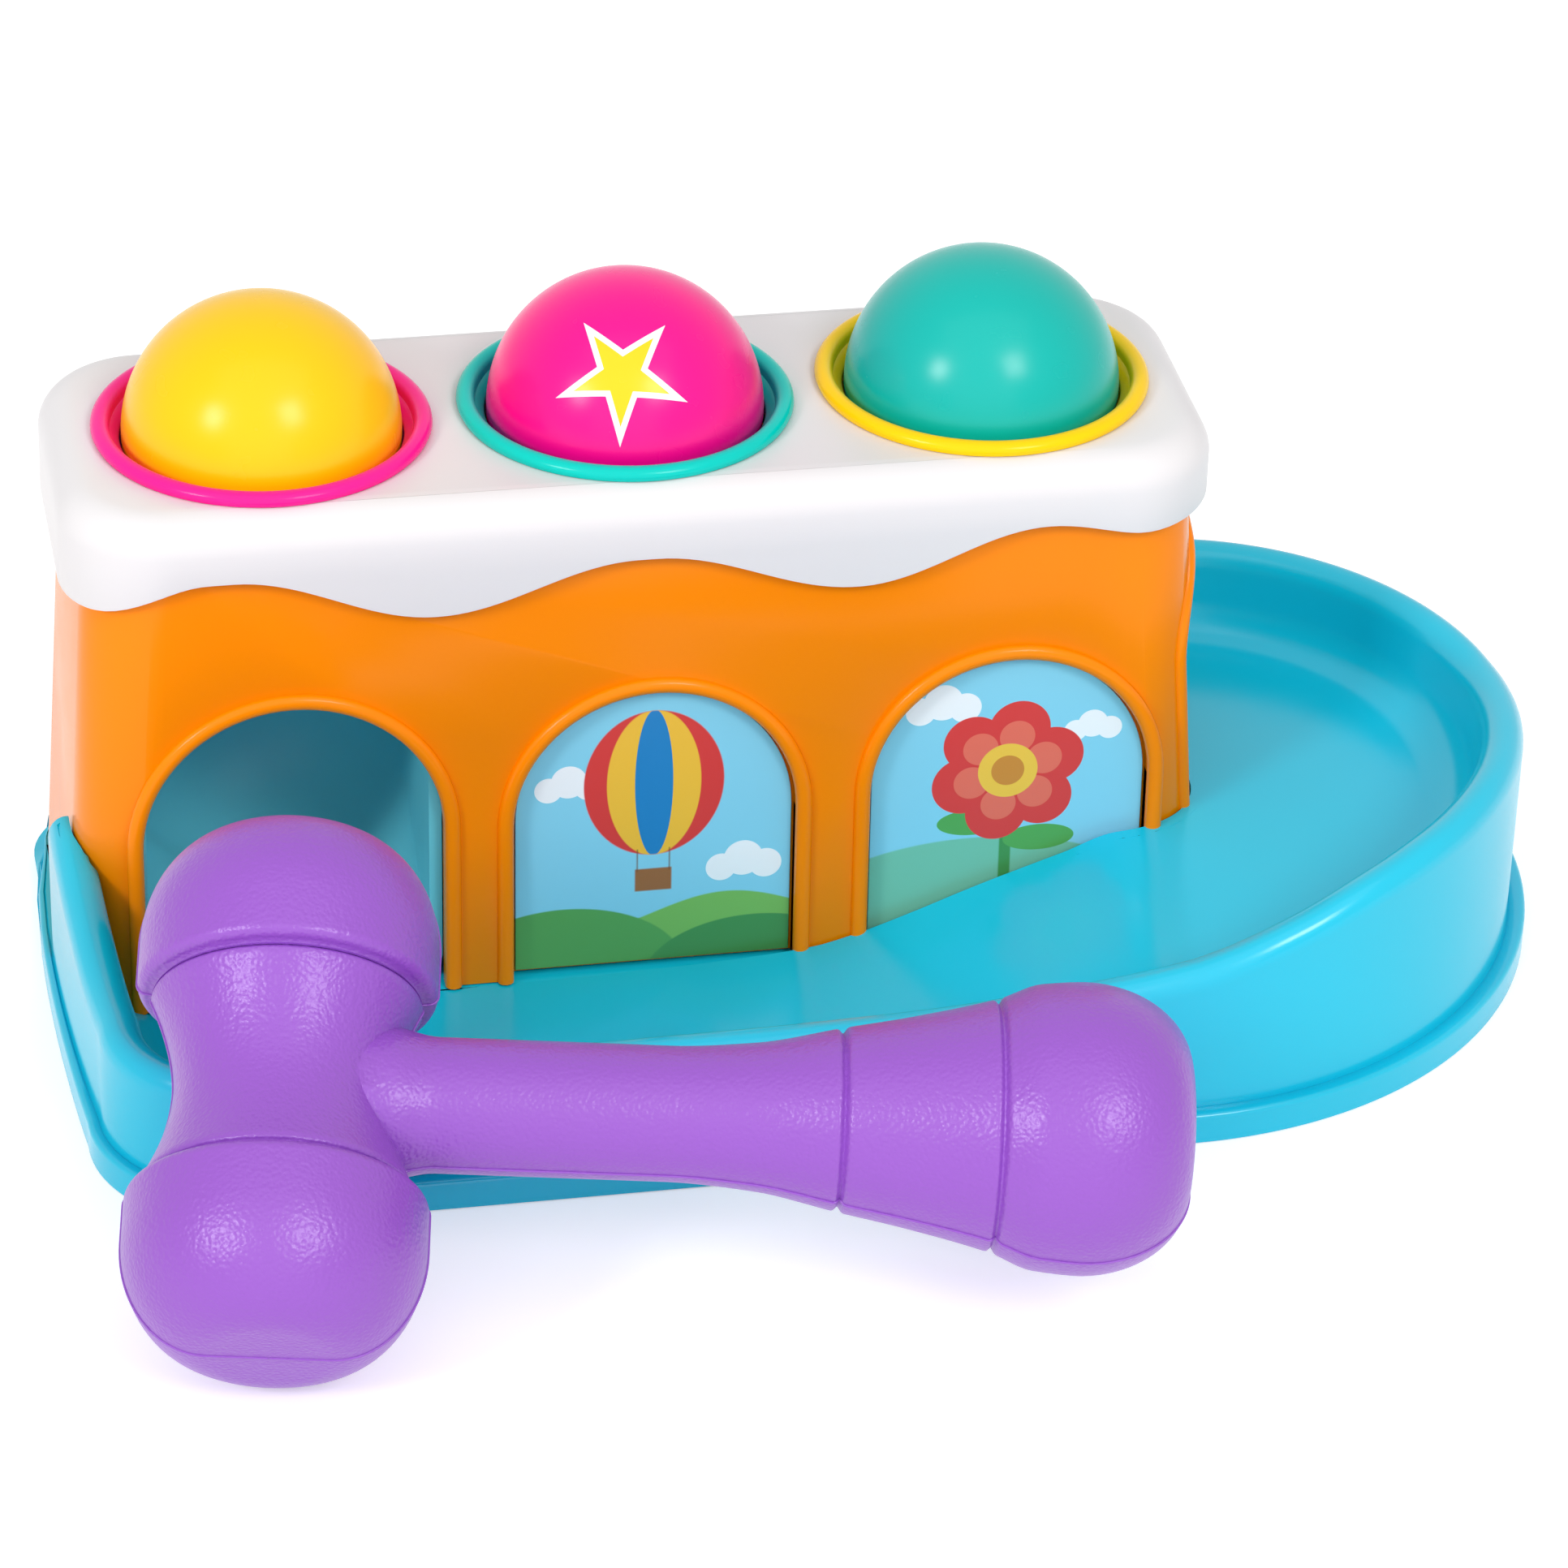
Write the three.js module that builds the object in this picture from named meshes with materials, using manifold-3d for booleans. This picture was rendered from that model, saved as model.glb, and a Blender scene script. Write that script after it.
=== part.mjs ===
// Pound and roll tower, millimetres, Z up, ground at z = 0, origin under the middle ball.
import * as THREE from 'three';
import { mergeVertices } from 'three/addons/utils/BufferGeometryUtils.js';
import Module from 'manifold-3d';

const wasm = await Module();
wasm.setup();

// Driving dimensions
const GAP = 0.3;
const BALL_R = 24;
const BALL_WALL = 1.8;
const COLLAR_LIP = 3.2;
const COLLAR_SPACE = 4.6;
const COLLAR_DEPTH = 9;
const CAP_CORNER = 18;
const CAP_FILLET = 6.5;
const CAP_WALL = 2.2;
const CAP_MARGIN = 4.3;
const TOWER_CORNER = 14;
const TOWER_WALL = 2.4;
const END_DRAFT = 0.054;
const SIDE_DRAFT = 0.035;
const BEAD = 1.3;
const BEAD_WIDTH = 2.9;
const RECESS = 2.5;
const LABEL = 0.4;
const DECK = 3;
const PLINTH = 5.6;
const LEDGE = 3.3;
const RIM_WIDTH = 7.4;
const TRAY_SKIN = 2.4;
const FLOOR_HOLLOW = 0.2;
const RAMP_END = 27.6;
const RAMP_RISE = 8.4;
const CHUTE_WALL = 2.2;
const SCREW_R = 1.4;
const SCREW_HEAD = 2.8;
const HAMMER_R = 24.4;
const HAMMER_HALF = 45.2;
const NECK_R = 19;
const HANDLE_R = 11;
const HANDLE_LENGTH = 146.6;
const GRIP_R = 24;
const HAMMER_WALL = 2.4;

// Sizes that follow: the collar fits the ball, the tower fits the collars, the track fits the ball
const COLLAR_BORE = BALL_R + 2;
const COLLAR_R = COLLAR_BORE + COLLAR_LIP;
const PITCH = 2 * COLLAR_R + COLLAR_SPACE;
const HOLES = [-PITCH, 0, PITCH];
const CAP_X = PITCH + COLLAR_R + 1.8 * CAP_MARGIN;
const CAP_Y = COLLAR_R + CAP_MARGIN;
const TOWER_X = CAP_X + 0.9;
const TOWER_Y = CAP_Y;
const EXIT_HALF = BALL_R + 1.5;
const EXIT_TOP = RAMP_END + 2 * BALL_R + 3.4;
const CAP_TOP = EXIT_TOP + 20;
const BALL_Z = CAP_TOP - 0.6;
const PLATFORM = RAMP_END - 2.1;
const RIM_HIGH = PLATFORM + 15.5;
const RIM_LOW = DECK + 23;
const TOWER_FOOT = DECK + GAP;
const TOWER_HEAD = CAP_TOP - CAP_FILLET - GAP;
const ARCHES = [
  { x: -PITCH + 0.8, half: BALL_R + 2, apex: CAP_TOP - 38, open: true },
  { x: 0.8, half: BALL_R + 0.9, apex: CAP_TOP - 40, open: false },
  { x: PITCH + 0.8, half: BALL_R + 0.9, apex: CAP_TOP - 38.8, open: false },
];
const FRONT = -(TOWER_Y + BEAD + 2 * BALL_R + RIM_WIDTH + 1.8);
const RIGHT = TOWER_X + 2 * BALL_R + RIM_WIDTH + 2;
const BACK = TOWER_Y + RIM_WIDTH + 2.1;
const LEFT = -TOWER_X - 0.6;

const plastic = (color, roughness) => new THREE.MeshStandardMaterial({ color, roughness, metalness: 0 });
const steel = new THREE.MeshStandardMaterial({ color: 0xb9bcc0, roughness: 0.35, metalness: 1 });
const turquoise = plastic(0x4dcde6, 0.25);
const orange = plastic(0xfe8c00, 0.25);
const white = plastic(0xf3f1f2, 0.3);
const purple = plastic(0xa564d7, 0.5);

// Geometry to solid and back
function signedVolume(position, index) {
  const a = new THREE.Vector3();
  const b = new THREE.Vector3();
  const c = new THREE.Vector3();
  let volume = 0;
  for (let i = 0; i < index.length; i += 3) {
    a.fromBufferAttribute(position, index[i]);
    b.fromBufferAttribute(position, index[i + 1]);
    c.fromBufferAttribute(position, index[i + 2]);
    volume += a.dot(b.cross(c));
  }
  return volume;
}

function solid(geometry, merge = true) {
  let clean = geometry.clone();
  clean.deleteAttribute('normal');
  clean.deleteAttribute('uv');
  if (merge) {
    clean = mergeVertices(clean, 1e-5);
  }
  const position = clean.attributes.position;
  let index = [];
  const source = clean.index.array;
  for (let i = 0; i < source.length; i += 3) {
    const [a, b, c] = [source[i], source[i + 1], source[i + 2]];
    if (a !== b && b !== c && c !== a) {
      index.push(a, b, c);
    }
  }
  if (signedVolume(position, index) < 0) {
    index = index.map((value, i) => index[i % 3 === 1 ? i + 1 : i % 3 === 2 ? i - 1 : i]);
  }
  const mesh = new wasm.Mesh({
    numProp: 3,
    vertProperties: new Float32Array(position.array),
    triVerts: new Uint32Array(index),
  });
  return new wasm.Manifold(mesh);
}

function geometryOf(body) {
  const mesh = body.getMesh();
  const geometry = new THREE.BufferGeometry();
  geometry.setAttribute('position', new THREE.BufferAttribute(new Float32Array(mesh.vertProperties), 3));
  geometry.setIndex(new THREE.BufferAttribute(new Uint32Array(mesh.triVerts), 1));
  return geometry;
}

const union = (bodies) => bodies.reduce((sum, body) => sum.add(body));
const less = (body, cutters) => cutters.reduce((rest, cutter) => rest.subtract(cutter), body);

function box(x0, x1, y0, y1, z0, z1) {
  const geometry = new THREE.BoxGeometry(x1 - x0, y1 - y0, z1 - z0);
  geometry.translate((x0 + x1) / 2, (y0 + y1) / 2, (z0 + z1) / 2);
  return solid(geometry);
}

function cylinder(x, y, z0, z1, radius, sides = 14) {
  const geometry = new THREE.CylinderGeometry(radius, radius, z1 - z0, sides);
  geometry.rotateX(Math.PI / 2);
  geometry.translate(x, y, (z0 + z1) / 2);
  return solid(geometry);
}

// Closed profile of [radius, height] turned about Z
function turned(profile, sides) {
  const points = profile.map(([r, z]) => new THREE.Vector2(r, z));
  const geometry = new THREE.LatheGeometry([...points, points[0]], sides);
  geometry.rotateX(Math.PI / 2);
  return geometry;
}

function arc(cx, cy, rx, ry, from, to, steps) {
  const points = [];
  for (let i = 0; i <= steps; i++) {
    const angle = from + ((to - from) * i) / steps;
    points.push([cx + rx * Math.cos(angle), cy + ry * Math.sin(angle)]);
  }
  return points;
}

// Skin over loops of equal length, closed at both ends
function loft(loops) {
  const count = loops[0].length;
  const position = [];
  const index = [];
  for (const loop of loops) {
    for (const point of loop) {
      position.push(point.x, point.y, point.z);
    }
  }
  for (let i = 0; i + 1 < loops.length; i++) {
    for (let j = 0; j < count; j++) {
      const a = i * count + j;
      const b = i * count + ((j + 1) % count);
      index.push(a, b, b + count, a, b + count, a + count);
    }
  }
  const close = (loop, start, turn) => {
    const normal = new THREE.Vector3();
    loop.forEach((point, j) => {
      const next = loop[(j + 1) % count];
      normal.x += (point.y - next.y) * (point.z + next.z);
      normal.y += (point.z - next.z) * (point.x + next.x);
      normal.z += (point.x - next.x) * (point.y + next.y);
    });
    const upright = new THREE.Vector3(0, 0, 1);
    const turnFlat = new THREE.Quaternion().setFromUnitVectors(normal.normalize(), upright);
    const flat = loop.map((point) => {
      const p = point.clone().applyQuaternion(turnFlat);
      return new THREE.Vector2(p.x, p.y);
    });
    for (const [a, b, c] of THREE.ShapeUtils.triangulateShape(flat, [])) {
      const left = THREE.ShapeUtils.area([flat[a], flat[b], flat[c]]) > 0;
      const [p, q] = left === turn ? [b, c] : [c, b];
      index.push(start + a, start + p, start + q);
    }
  };
  close(loops[0], 0, false);
  close(loops[loops.length - 1], (loops.length - 1) * count, true);
  const geometry = new THREE.BufferGeometry();
  geometry.setAttribute('position', new THREE.Float32BufferAttribute(position, 3));
  geometry.setIndex(index);
  return solid(geometry, false);
}

function roundedLoop(halfX, halfY, radius, z, steps = 5) {
  const quarter = Math.PI / 2;
  const x = halfX - radius;
  const y = halfY - radius;
  const points = [
    ...arc(x, y, radius, radius, 0, quarter, steps),
    ...arc(-x, y, radius, radius, quarter, 2 * quarter, steps),
    ...arc(-x, -y, radius, radius, 2 * quarter, 3 * quarter, steps),
    ...arc(x, -y, radius, radius, 3 * quarter, 4 * quarter, steps),
  ];
  return points.map(([px, py]) => new THREE.Vector3(px, py, z));
}

// Outline in X and Z pushed along Y from y0 to y1
function slab(outline, y0, y1) {
  const ring = (y) => outline.map(([x, z]) => new THREE.Vector3(x, y, z));
  return loft([ring(y0), ring(y1)]);
}

function plate(outline, z0, z1) {
  const ring = (z) => outline.map(([x, y]) => new THREE.Vector3(x, y, z));
  return loft([ring(z0), ring(z1)]);
}

// Arch outline, legs down to foot
function archOutline(x, half, apex, foot, steps = 12) {
  return [[x - half, foot], [x + half, foot], ...arc(x, apex - half, half, half, 0, Math.PI, steps)];
}

// Tower
const towerX = (z) => TOWER_X - END_DRAFT * (z - DECK);
const towerY = (z) => TOWER_Y - SIDE_DRAFT * (z - DECK);

function towerBlock(grow, z0, z1) {
  const ring = (z) => roundedLoop(towerX(z) + grow, towerY(z) + grow, TOWER_CORNER + grow, z);
  return loft([ring(z0), ring(z1)]);
}

// Bodies made upright at y = 0 lean back with the front wall
function onFront(body) {
  const lean = new THREE.Matrix4().makeRotationX(-Math.atan(SIDE_DRAFT));
  const place = new THREE.Matrix4().makeTranslation(0, -towerY(DECK), DECK);
  const down = new THREE.Matrix4().makeTranslation(0, 0, -DECK);
  return body.transform(place.multiply(lean).multiply(down).elements);
}

// Bodies made on the XZ plane turn to the right end wall and lean with it
function onEnd(body) {
  const lean = new THREE.Matrix4().makeRotationX(-Math.atan(END_DRAFT));
  const turn = new THREE.Matrix4().makeRotationZ(Math.PI / 2);
  const place = new THREE.Matrix4().makeTranslation(towerX(DECK), 0, DECK);
  const down = new THREE.Matrix4().makeTranslation(0, 0, -DECK);
  return body.transform(place.multiply(turn).multiply(lean).multiply(down).elements);
}

function archBead(arch, grow, depth) {
  const outer = archOutline(arch.x, arch.half + BEAD_WIDTH + grow, arch.apex + BEAD_WIDTH + grow, DECK);
  const inner = archOutline(arch.x, arch.half - grow, arch.apex - grow, DECK - 1);
  return less(slab(outer, -BEAD - grow, depth), [slab(inner, -BEAD - 5, depth + 4)]);
}

const EXIT = { x: 0, half: EXIT_HALF, apex: EXIT_TOP };

function towerOutside(grow, z0, z1) {
  const beads = ARCHES.map((arch) => onFront(archBead(arch, grow, 1)));
  const cut = box(-2 * TOWER_X, 2 * TOWER_X, -2 * TOWER_Y, 2 * TOWER_Y, z0, z1);
  const proud = towerBlock(BEAD + grow, DECK, TOWER_HEAD);
  const exitBead = onEnd(archBead(EXIT, grow, TOWER_CORNER / 2)).intersect(proud);
  return union([towerBlock(grow, z0, z1), ...beads, exitBead]).intersect(cut);
}

const SCREW_X = TOWER_X - TOWER_CORNER + 1.1;
const SCREW_Y = TOWER_Y - 11.5;
const CAP_POINTS = [[-SCREW_X, -SCREW_Y], [-SCREW_X, SCREW_Y], [SCREW_X, -SCREW_Y], [SCREW_X, SCREW_Y]];
const FOOT_POINTS = [[1.3 - PITCH / 2, 8 - TOWER_Y], ...CAP_POINTS.slice(1)];
const LUG = CAP_TOP - 19;
const POST = DECK + 6;

function towerShell() {
  const t = TOWER_WALL;
  const inside = (z) => roundedLoop(towerX(z) - t, towerY(z) - t, TOWER_CORNER - t, z);
  const cavity = loft([inside(TOWER_FOOT - 1), inside(TOWER_HEAD + 1)]);
  const backs = ARCHES.filter((arch) => !arch.open).map((arch) => {
    const outline = archOutline(arch.x, arch.half + TOWER_WALL, arch.apex + TOWER_WALL, TOWER_FOOT + 0.5);
    return onFront(slab(outline, 1, RECESS + TOWER_WALL));
  });
  const inner = towerBlock(-TOWER_WALL / 2, TOWER_FOOT, TOWER_HEAD);
  const lugs = CAP_POINTS.flatMap(([x, y]) => [
    cylinder(x, y, LUG, LUG + 3, 4.6),
    cylinder(x + Math.sign(x) * 3.5, y + Math.sign(y) * 2.2, LUG, LUG + 3, 5.4),
  ]);
  const feet = FOOT_POINTS.flatMap(([x, y]) => [
    cylinder(x, y, POST + GAP, POST + 14, 3.8),
    cylinder(x + Math.sign(Math.trunc(x / PITCH)) * 4, y + Math.sign(y) * 3, POST + GAP, POST + 14, 4),
  ]);
  const props = [...lugs, ...feet].map((lug) => lug.intersect(inner));
  const cuts = ARCHES.map((arch) => {
    const outline = archOutline(arch.x, arch.half, arch.apex, DECK - 5);
    return onFront(slab(outline, -10, arch.open ? 10 : RECESS));
  });
  const exit = onEnd(slab(archOutline(0, EXIT_HALF, EXIT_TOP, PLATFORM - 1.5), -10, 12));
  const holes = [
    ...CAP_POINTS.map(([x, y]) => cylinder(x, y, LUG - 1, LUG + 4, SCREW_R + GAP)),
    ...FOOT_POINTS.map(([x, y]) => cylinder(x, y, POST - 1, POST + 11, SCREW_R + GAP)),
  ];
  const skin = less(towerOutside(0, TOWER_FOOT, TOWER_HEAD), [cavity]);
  return less(union([skin, ...backs, ...props]), [...cuts, exit, ...holes]);
}

function picture(arch) {
  const outline = archOutline(arch.x, arch.half - 0.5, arch.apex - 0.5, TOWER_FOOT + 1);
  return onFront(slab(outline, RECESS - GAP - LABEL, RECESS - GAP));
}

// Cap
function capBlock(inset, low, top, fillet) {
  const loops = [roundedLoop(CAP_X - inset, CAP_Y - inset, CAP_CORNER - inset, low)];
  for (const [out, up] of arc(0, 0, fillet, fillet, 0, Math.PI / 2, 4)) {
    const step = inset + fillet - out;
    loops.push(roundedLoop(CAP_X - step, CAP_Y - step, CAP_CORNER - step, top - fillet + up));
  }
  return loft(loops);
}

// Wavy lower edge, [part of the half length, drop below the top], from left to right
const WAVE = [
  [-1.08, 13], [-0.94, 15], [-0.716, 12], [-0.42, 20.6], [-0.05, 13],
  [0.1, 13], [0.33, 20.6], [0.707, 12], [0.88, 14.8], [1.08, 13],
];

function topCap() {
  const marks = WAVE.map(([x, drop]) => new THREE.Vector2(x * CAP_X, CAP_TOP - drop));
  const edge = new THREE.SplineCurve(marks).getPoints(36).map((point) => [point.x, point.y]);
  const floor = CAP_TOP - 45;
  const ends = [[-1.08 * CAP_X, floor], [1.08 * CAP_X, floor]];
  const below = slab([...ends, ...edge.reverse()], -2 * CAP_Y, 2 * CAP_Y);
  const shell = less(capBlock(0, CAP_TOP - 30, CAP_TOP, CAP_FILLET), [
    capBlock(CAP_WALL, CAP_TOP - 40, CAP_TOP - CAP_WALL, CAP_FILLET - CAP_WALL),
    below,
    ...HOLES.map((x) => cylinder(x, 0, CAP_TOP - 15, CAP_TOP + 15, COLLAR_R - 1.2, 36)),
  ]);
  const posts = CAP_POINTS.map(([x, y]) => cylinder(x, y, LUG + 3 + GAP, CAP_TOP - 1, 3.2));
  const holes = CAP_POINTS.map(([x, y]) => cylinder(x, y, LUG, CAP_TOP - CAP_WALL - 2, SCREW_R + GAP));
  return less(union([shell, ...posts]), holes);
}

// Collar: round lip, sleeve, and fingers that end just clear of the ball
function collar(x) {
  const foot = CAP_TOP - COLLAR_DEPTH;
  const sleeve = COLLAR_R - 1.6;
  const lip = (COLLAR_R - COLLAR_BORE) / 2;
  const profile = [
    [COLLAR_BORE, foot],
    [sleeve, foot],
    [sleeve, CAP_TOP + GAP],
    [COLLAR_R - 0.2, CAP_TOP + GAP],
    ...arc(COLLAR_R - lip, CAP_TOP + GAP + 0.5, lip, 1.6, 0, Math.PI, 5),
    [BALL_R + GAP, BALL_Z - 0.2],
    [BALL_R + GAP, BALL_Z - 1.6],
    [COLLAR_BORE, BALL_Z - 4.5],
  ];
  const ring = solid(turned(profile, 36));
  const slots = [];
  for (let i = 0; i < 6; i++) {
    const slot = new THREE.BoxGeometry(6, 1.6, 12);
    slot.translate(COLLAR_BORE - 2, 0, foot + 3);
    slot.rotateZ(((i + 0.5) * Math.PI) / 3);
    slots.push(solid(slot));
  }
  return less(ring, slots).translate([x, 0, 0]);
}

// Ball halves: bowls that meet at the seam
function ballHalf(x, up) {
  const inner = BALL_R - BALL_WALL;
  const seam = 0.1;
  const start = Math.asin(seam / BALL_R);
  const startIn = Math.asin(seam / inner);
  const outside = arc(0, 0, BALL_R, BALL_R, start, Math.PI / 2, 7);
  const inside = arc(0, 0, inner, inner, Math.PI / 2, startIn, 3);
  const clean = ([r, z]) => [Math.abs(r) < 1e-6 ? 0 : r, z];
  const profile = [...outside, ...inside].map(clean);
  const geometry = turned(profile, 28);
  if (!up) {
    geometry.rotateX(Math.PI);
  }
  geometry.translate(x, 0, BALL_Z);
  return solid(geometry);
}

// Chute inside the tower: drop box with cut corners, sloping bed, ramp to the side exit
const NICHE = { x: -PITCH, half: BALL_R + 1.6, top: BALL_Z - BALL_R - 3.4, floor: DECK + 4 };
const RAMP_HALF = BALL_R + 0.6;

function dropBox() {
  const { x, half, top, floor } = NICHE;
  const corner = half * (2 - Math.SQRT2) - 0.4;
  const ring = (reach, front, z) => {
    const cut = corner + (reach - half) * (2 - Math.SQRT2);
    return [
      [x - reach, front], [x + reach, front], [x + reach, reach - cut], [x + reach - cut, reach],
      [x - reach + cut, reach], [x - reach, reach - cut],
    ].map(([px, py]) => new THREE.Vector3(px, py, z));
  };
  const outer = loft([ring(half + CHUTE_WALL, -20, TOWER_FOOT), ring(half + CHUTE_WALL + 0.4, -20, top)]);
  const space = loft([ring(half, -40, floor - 8), ring(half + 0.4, -40, top + 8)]);
  const bed = (px) => [
    [-28, TOWER_FOOT], [half - 2, TOWER_FOOT], [half - 2, floor + 2.5], [-28, floor - 2.8],
  ].map(([y, z]) => new THREE.Vector3(px, y, z));
  const tongue = box(x - half + 0.8, x + half - 0.8, -TOWER_Y + GAP, -27, TOWER_FOOT, floor - 2.8);
  const inner = plate(ring(half + 1, -40, 0).map((p) => [p.x, p.y]), 0, 40);
  const fill = loft([bed(x - half - 1), bed(x + half + 1)]).intersect(inner);
  return union([less(outer, [space]), fill, tongue]);
}

function ballChute() {
  const wall = CHUTE_WALL;
  const from = NICHE.x + NICHE.half + 1;
  const to = towerX(RAMP_END) - TOWER_WALL - GAP;
  const lie = (px) => RAMP_END + (RAMP_RISE * (to - px)) / (to - from);
  const strip = (below, above, y0, y1) => slab([
    [from, lie(from) - below], [to, lie(to) - below], [to, lie(to) + above], [from, lie(from) + above],
  ], y0, y1);
  const ribs = [-0.08, 0.6, 1.24].map((part) => {
    const px = part * PITCH;
    return box(px, px + wall, -RAMP_HALF + 1, RAMP_HALF - 1, TOWER_FOOT, lie(px) - 1);
  });
  return union([
    dropBox(), strip(wall, 0, -RAMP_HALF, RAMP_HALF), strip(wall, 4, -RAMP_HALF, -RAMP_HALF + wall),
    strip(wall, 4, RAMP_HALF - wall, RAMP_HALF), ...ribs,
  ]);
}

// Base tray: stations along the wall, each with its inward direction, rim and floor heights
const END_X = RIGHT - 74.2;
const END_Y = FRONT + 74.4;
const BACK_X = RIGHT - 58.3;
const CORNER_R = 24;
const SIDE_X = LEFT + 2.5;
const WALL_PATH = new THREE.Path();
WALL_PATH.moveTo(PITCH + 9, BACK);
WALL_PATH.lineTo(BACK_X, BACK);
WALL_PATH.absellipse(BACK_X, END_Y, RIGHT - BACK_X, BACK - END_Y, Math.PI / 2, 0, true);
WALL_PATH.absellipse(END_X, END_Y, RIGHT - END_X, END_Y - FRONT, 0, -Math.PI / 2, true);
WALL_PATH.lineTo(SIDE_X + CORNER_R, FRONT);
WALL_PATH.absellipse(SIDE_X + CORNER_R, FRONT + CORNER_R, CORNER_R, CORNER_R, -Math.PI / 2, -Math.PI, true);
WALL_PATH.quadraticCurveTo(LEFT + 0.1, (FRONT + CORNER_R) / 2 - 8, LEFT, -16);
const DIVISIONS = [2, 8, 11, 14, 6, 5];

// Rim height along the path, [leg + part of the leg, height]
const RIM_LINE = [
  [0, RIM_LOW], [1, RIM_HIGH - 1], [1.2, RIM_HIGH - 0.2], [1.9, RIM_HIGH], [2.2, RIM_HIGH + 2.8],
  [2.4, RIM_HIGH + 4], [2.55, RIM_HIGH + 3.4], [2.69, RIM_HIGH + 1.6], [2.85, RIM_HIGH - 3.2],
  [2.97, RIM_HIGH - 7.4], [3.08, RIM_LOW + 4.3], [3.3, RIM_LOW + 0.8], [3.5, RIM_LOW],
  [4.5, RIM_LOW - 0.5], [5.1, RIM_LOW + 0.5], [5.5, RIM_LOW + 4], [6, RIM_LOW + 7.5],
];
// How far the floor falls from the platform, [part of the pitch from the middle, part of the fall]
const FALL = [
  [-0.5, 1], [-0.1, 0.985], [0.2, 0.95], [0.457, 0.884], [0.571, 0.804], [0.75, 0.625], [0.916, 0.44],
  [1.168, 0.182], [1.32, 0.03], [1.5, 0],
];
// How far the floor dips towards the rim, [leg + part of the leg, depth]
const DIP = [[0, 0], [1, 0.5], [2, 1], [2.6, 2], [3, 3], [3.2, 1.5], [3.5, 0], [6, 0]];

function read(table, at) {
  let k = 0;
  while (k + 2 < table.length && table[k + 1][0] < at) {
    k += 1;
  }
  const [a, low] = table[k];
  const [b, high] = table[k + 1];
  return low + (high - low) * THREE.MathUtils.clamp((at - a) / (b - a), 0, 1);
}

function floorAt(x, y) {
  const fall = y > 0 ? 0 : read(FALL, x / PITCH);
  return PLATFORM - (PLATFORM - DECK) * fall;
}

function stations() {
  const list = [];
  WALL_PATH.curves.forEach((curve, leg) => {
    const count = DIVISIONS[leg];
    for (let i = leg === 0 ? 0 : 1; i <= count; i++) {
      const point = curve.getPoint(i / count);
      const along = curve.getTangent(i / count);
      const at = leg + i / count;
      const inward = new THREE.Vector2(along.y, -along.x);
      const spine = THREE.MathUtils.clamp(point.x, -PITCH - 9, PITCH + 9);
      const end = new THREE.Vector2(point.x - spine, point.y).setLength(18);
      end.x += spine;
      list.push({ point, inward, end, rim: read(RIM_LINE, at), dip: read(DIP, at) });
    }
  });
  return list;
}

// One section of the tray: wall and rim by distance from the path, then the floor to inside the tower
function section(s, bottom, rise, reach, drop) {
  const place = (d) => new THREE.Vector2(s.point.x + s.inward.x * d, s.point.y + s.inward.y * d);
  const foot = place(reach);
  const low = floorAt(foot.x, foot.y) - s.dip;
  const wall = rise(low).map(([d, z]) => new THREE.Vector3(place(d).x, place(d).y, z));
  const floor = [0, 0.25, 0.5, 0.75, 1].map((t) => {
    const spot = foot.clone().lerp(s.end, t);
    const hollow = FLOOR_HOLLOW * 4 * t * (1 - t);
    return new THREE.Vector3(spot.x, spot.y, floorAt(spot.x, spot.y) - s.dip * (1 - t) - hollow - drop);
  });
  return [...wall, ...floor, new THREE.Vector3(s.end.x, s.end.y, bottom)];
}

function trayLoops(list) {
  const w = RIM_WIDTH;
  return list.map((s) => section(s, 0, (low) => [
    [0, 0], [0, s.rim - 4], [0.5, s.rim - 1.7], [1.6, s.rim - 0.4], [w * 0.43, s.rim],
    [w * 0.64, s.rim - 0.15], [w * 0.83, s.rim - 0.9], [w * 0.96, s.rim - 2.3], [w, s.rim - 4.2],
    [w + 0.7, low + 7.5], [w + 1.7, low + 4], [w + 3.7, low + 1.5], [w + 6.2, low + 0.3],
  ], w + 9, 0));
}

function underLoops(list, t) {
  const w = RIM_WIDTH - t;
  return list.map((s) => section(s, -2, (low) => [
    [t, -2], [t, s.rim - 4.5], [t + 0.6, s.rim - t - 0.6], [w - 0.7, s.rim - t - 0.7], [w, s.rim - 4.8],
    [w + 0.6, low + 6], [w + 2, low + 2], [w + 4.4, low - 0.9], [w + 7.5, low - 2],
  ], w + 11, t));
}

// Plinth outline: the wall path pushed out by the ledge, then round the tower's back and left
function plinthOutline(grow) {
  const front = stations().map((s) => [s.point.x - s.inward.x * grow, s.point.y - s.inward.y * grow]);
  const back = TOWER_Y + 0.5;
  const r = TOWER_CORNER;
  const turn = arc(-TOWER_X + r, back - r, r + grow, r + grow, Math.PI, Math.PI / 2, 8);
  const step = [[0.76 * PITCH, back + grow], [0.95 * PITCH, BACK + grow - 3], [1.08 * PITCH, BACK + grow]];
  return [...front, ...turn, ...step];
}

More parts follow.
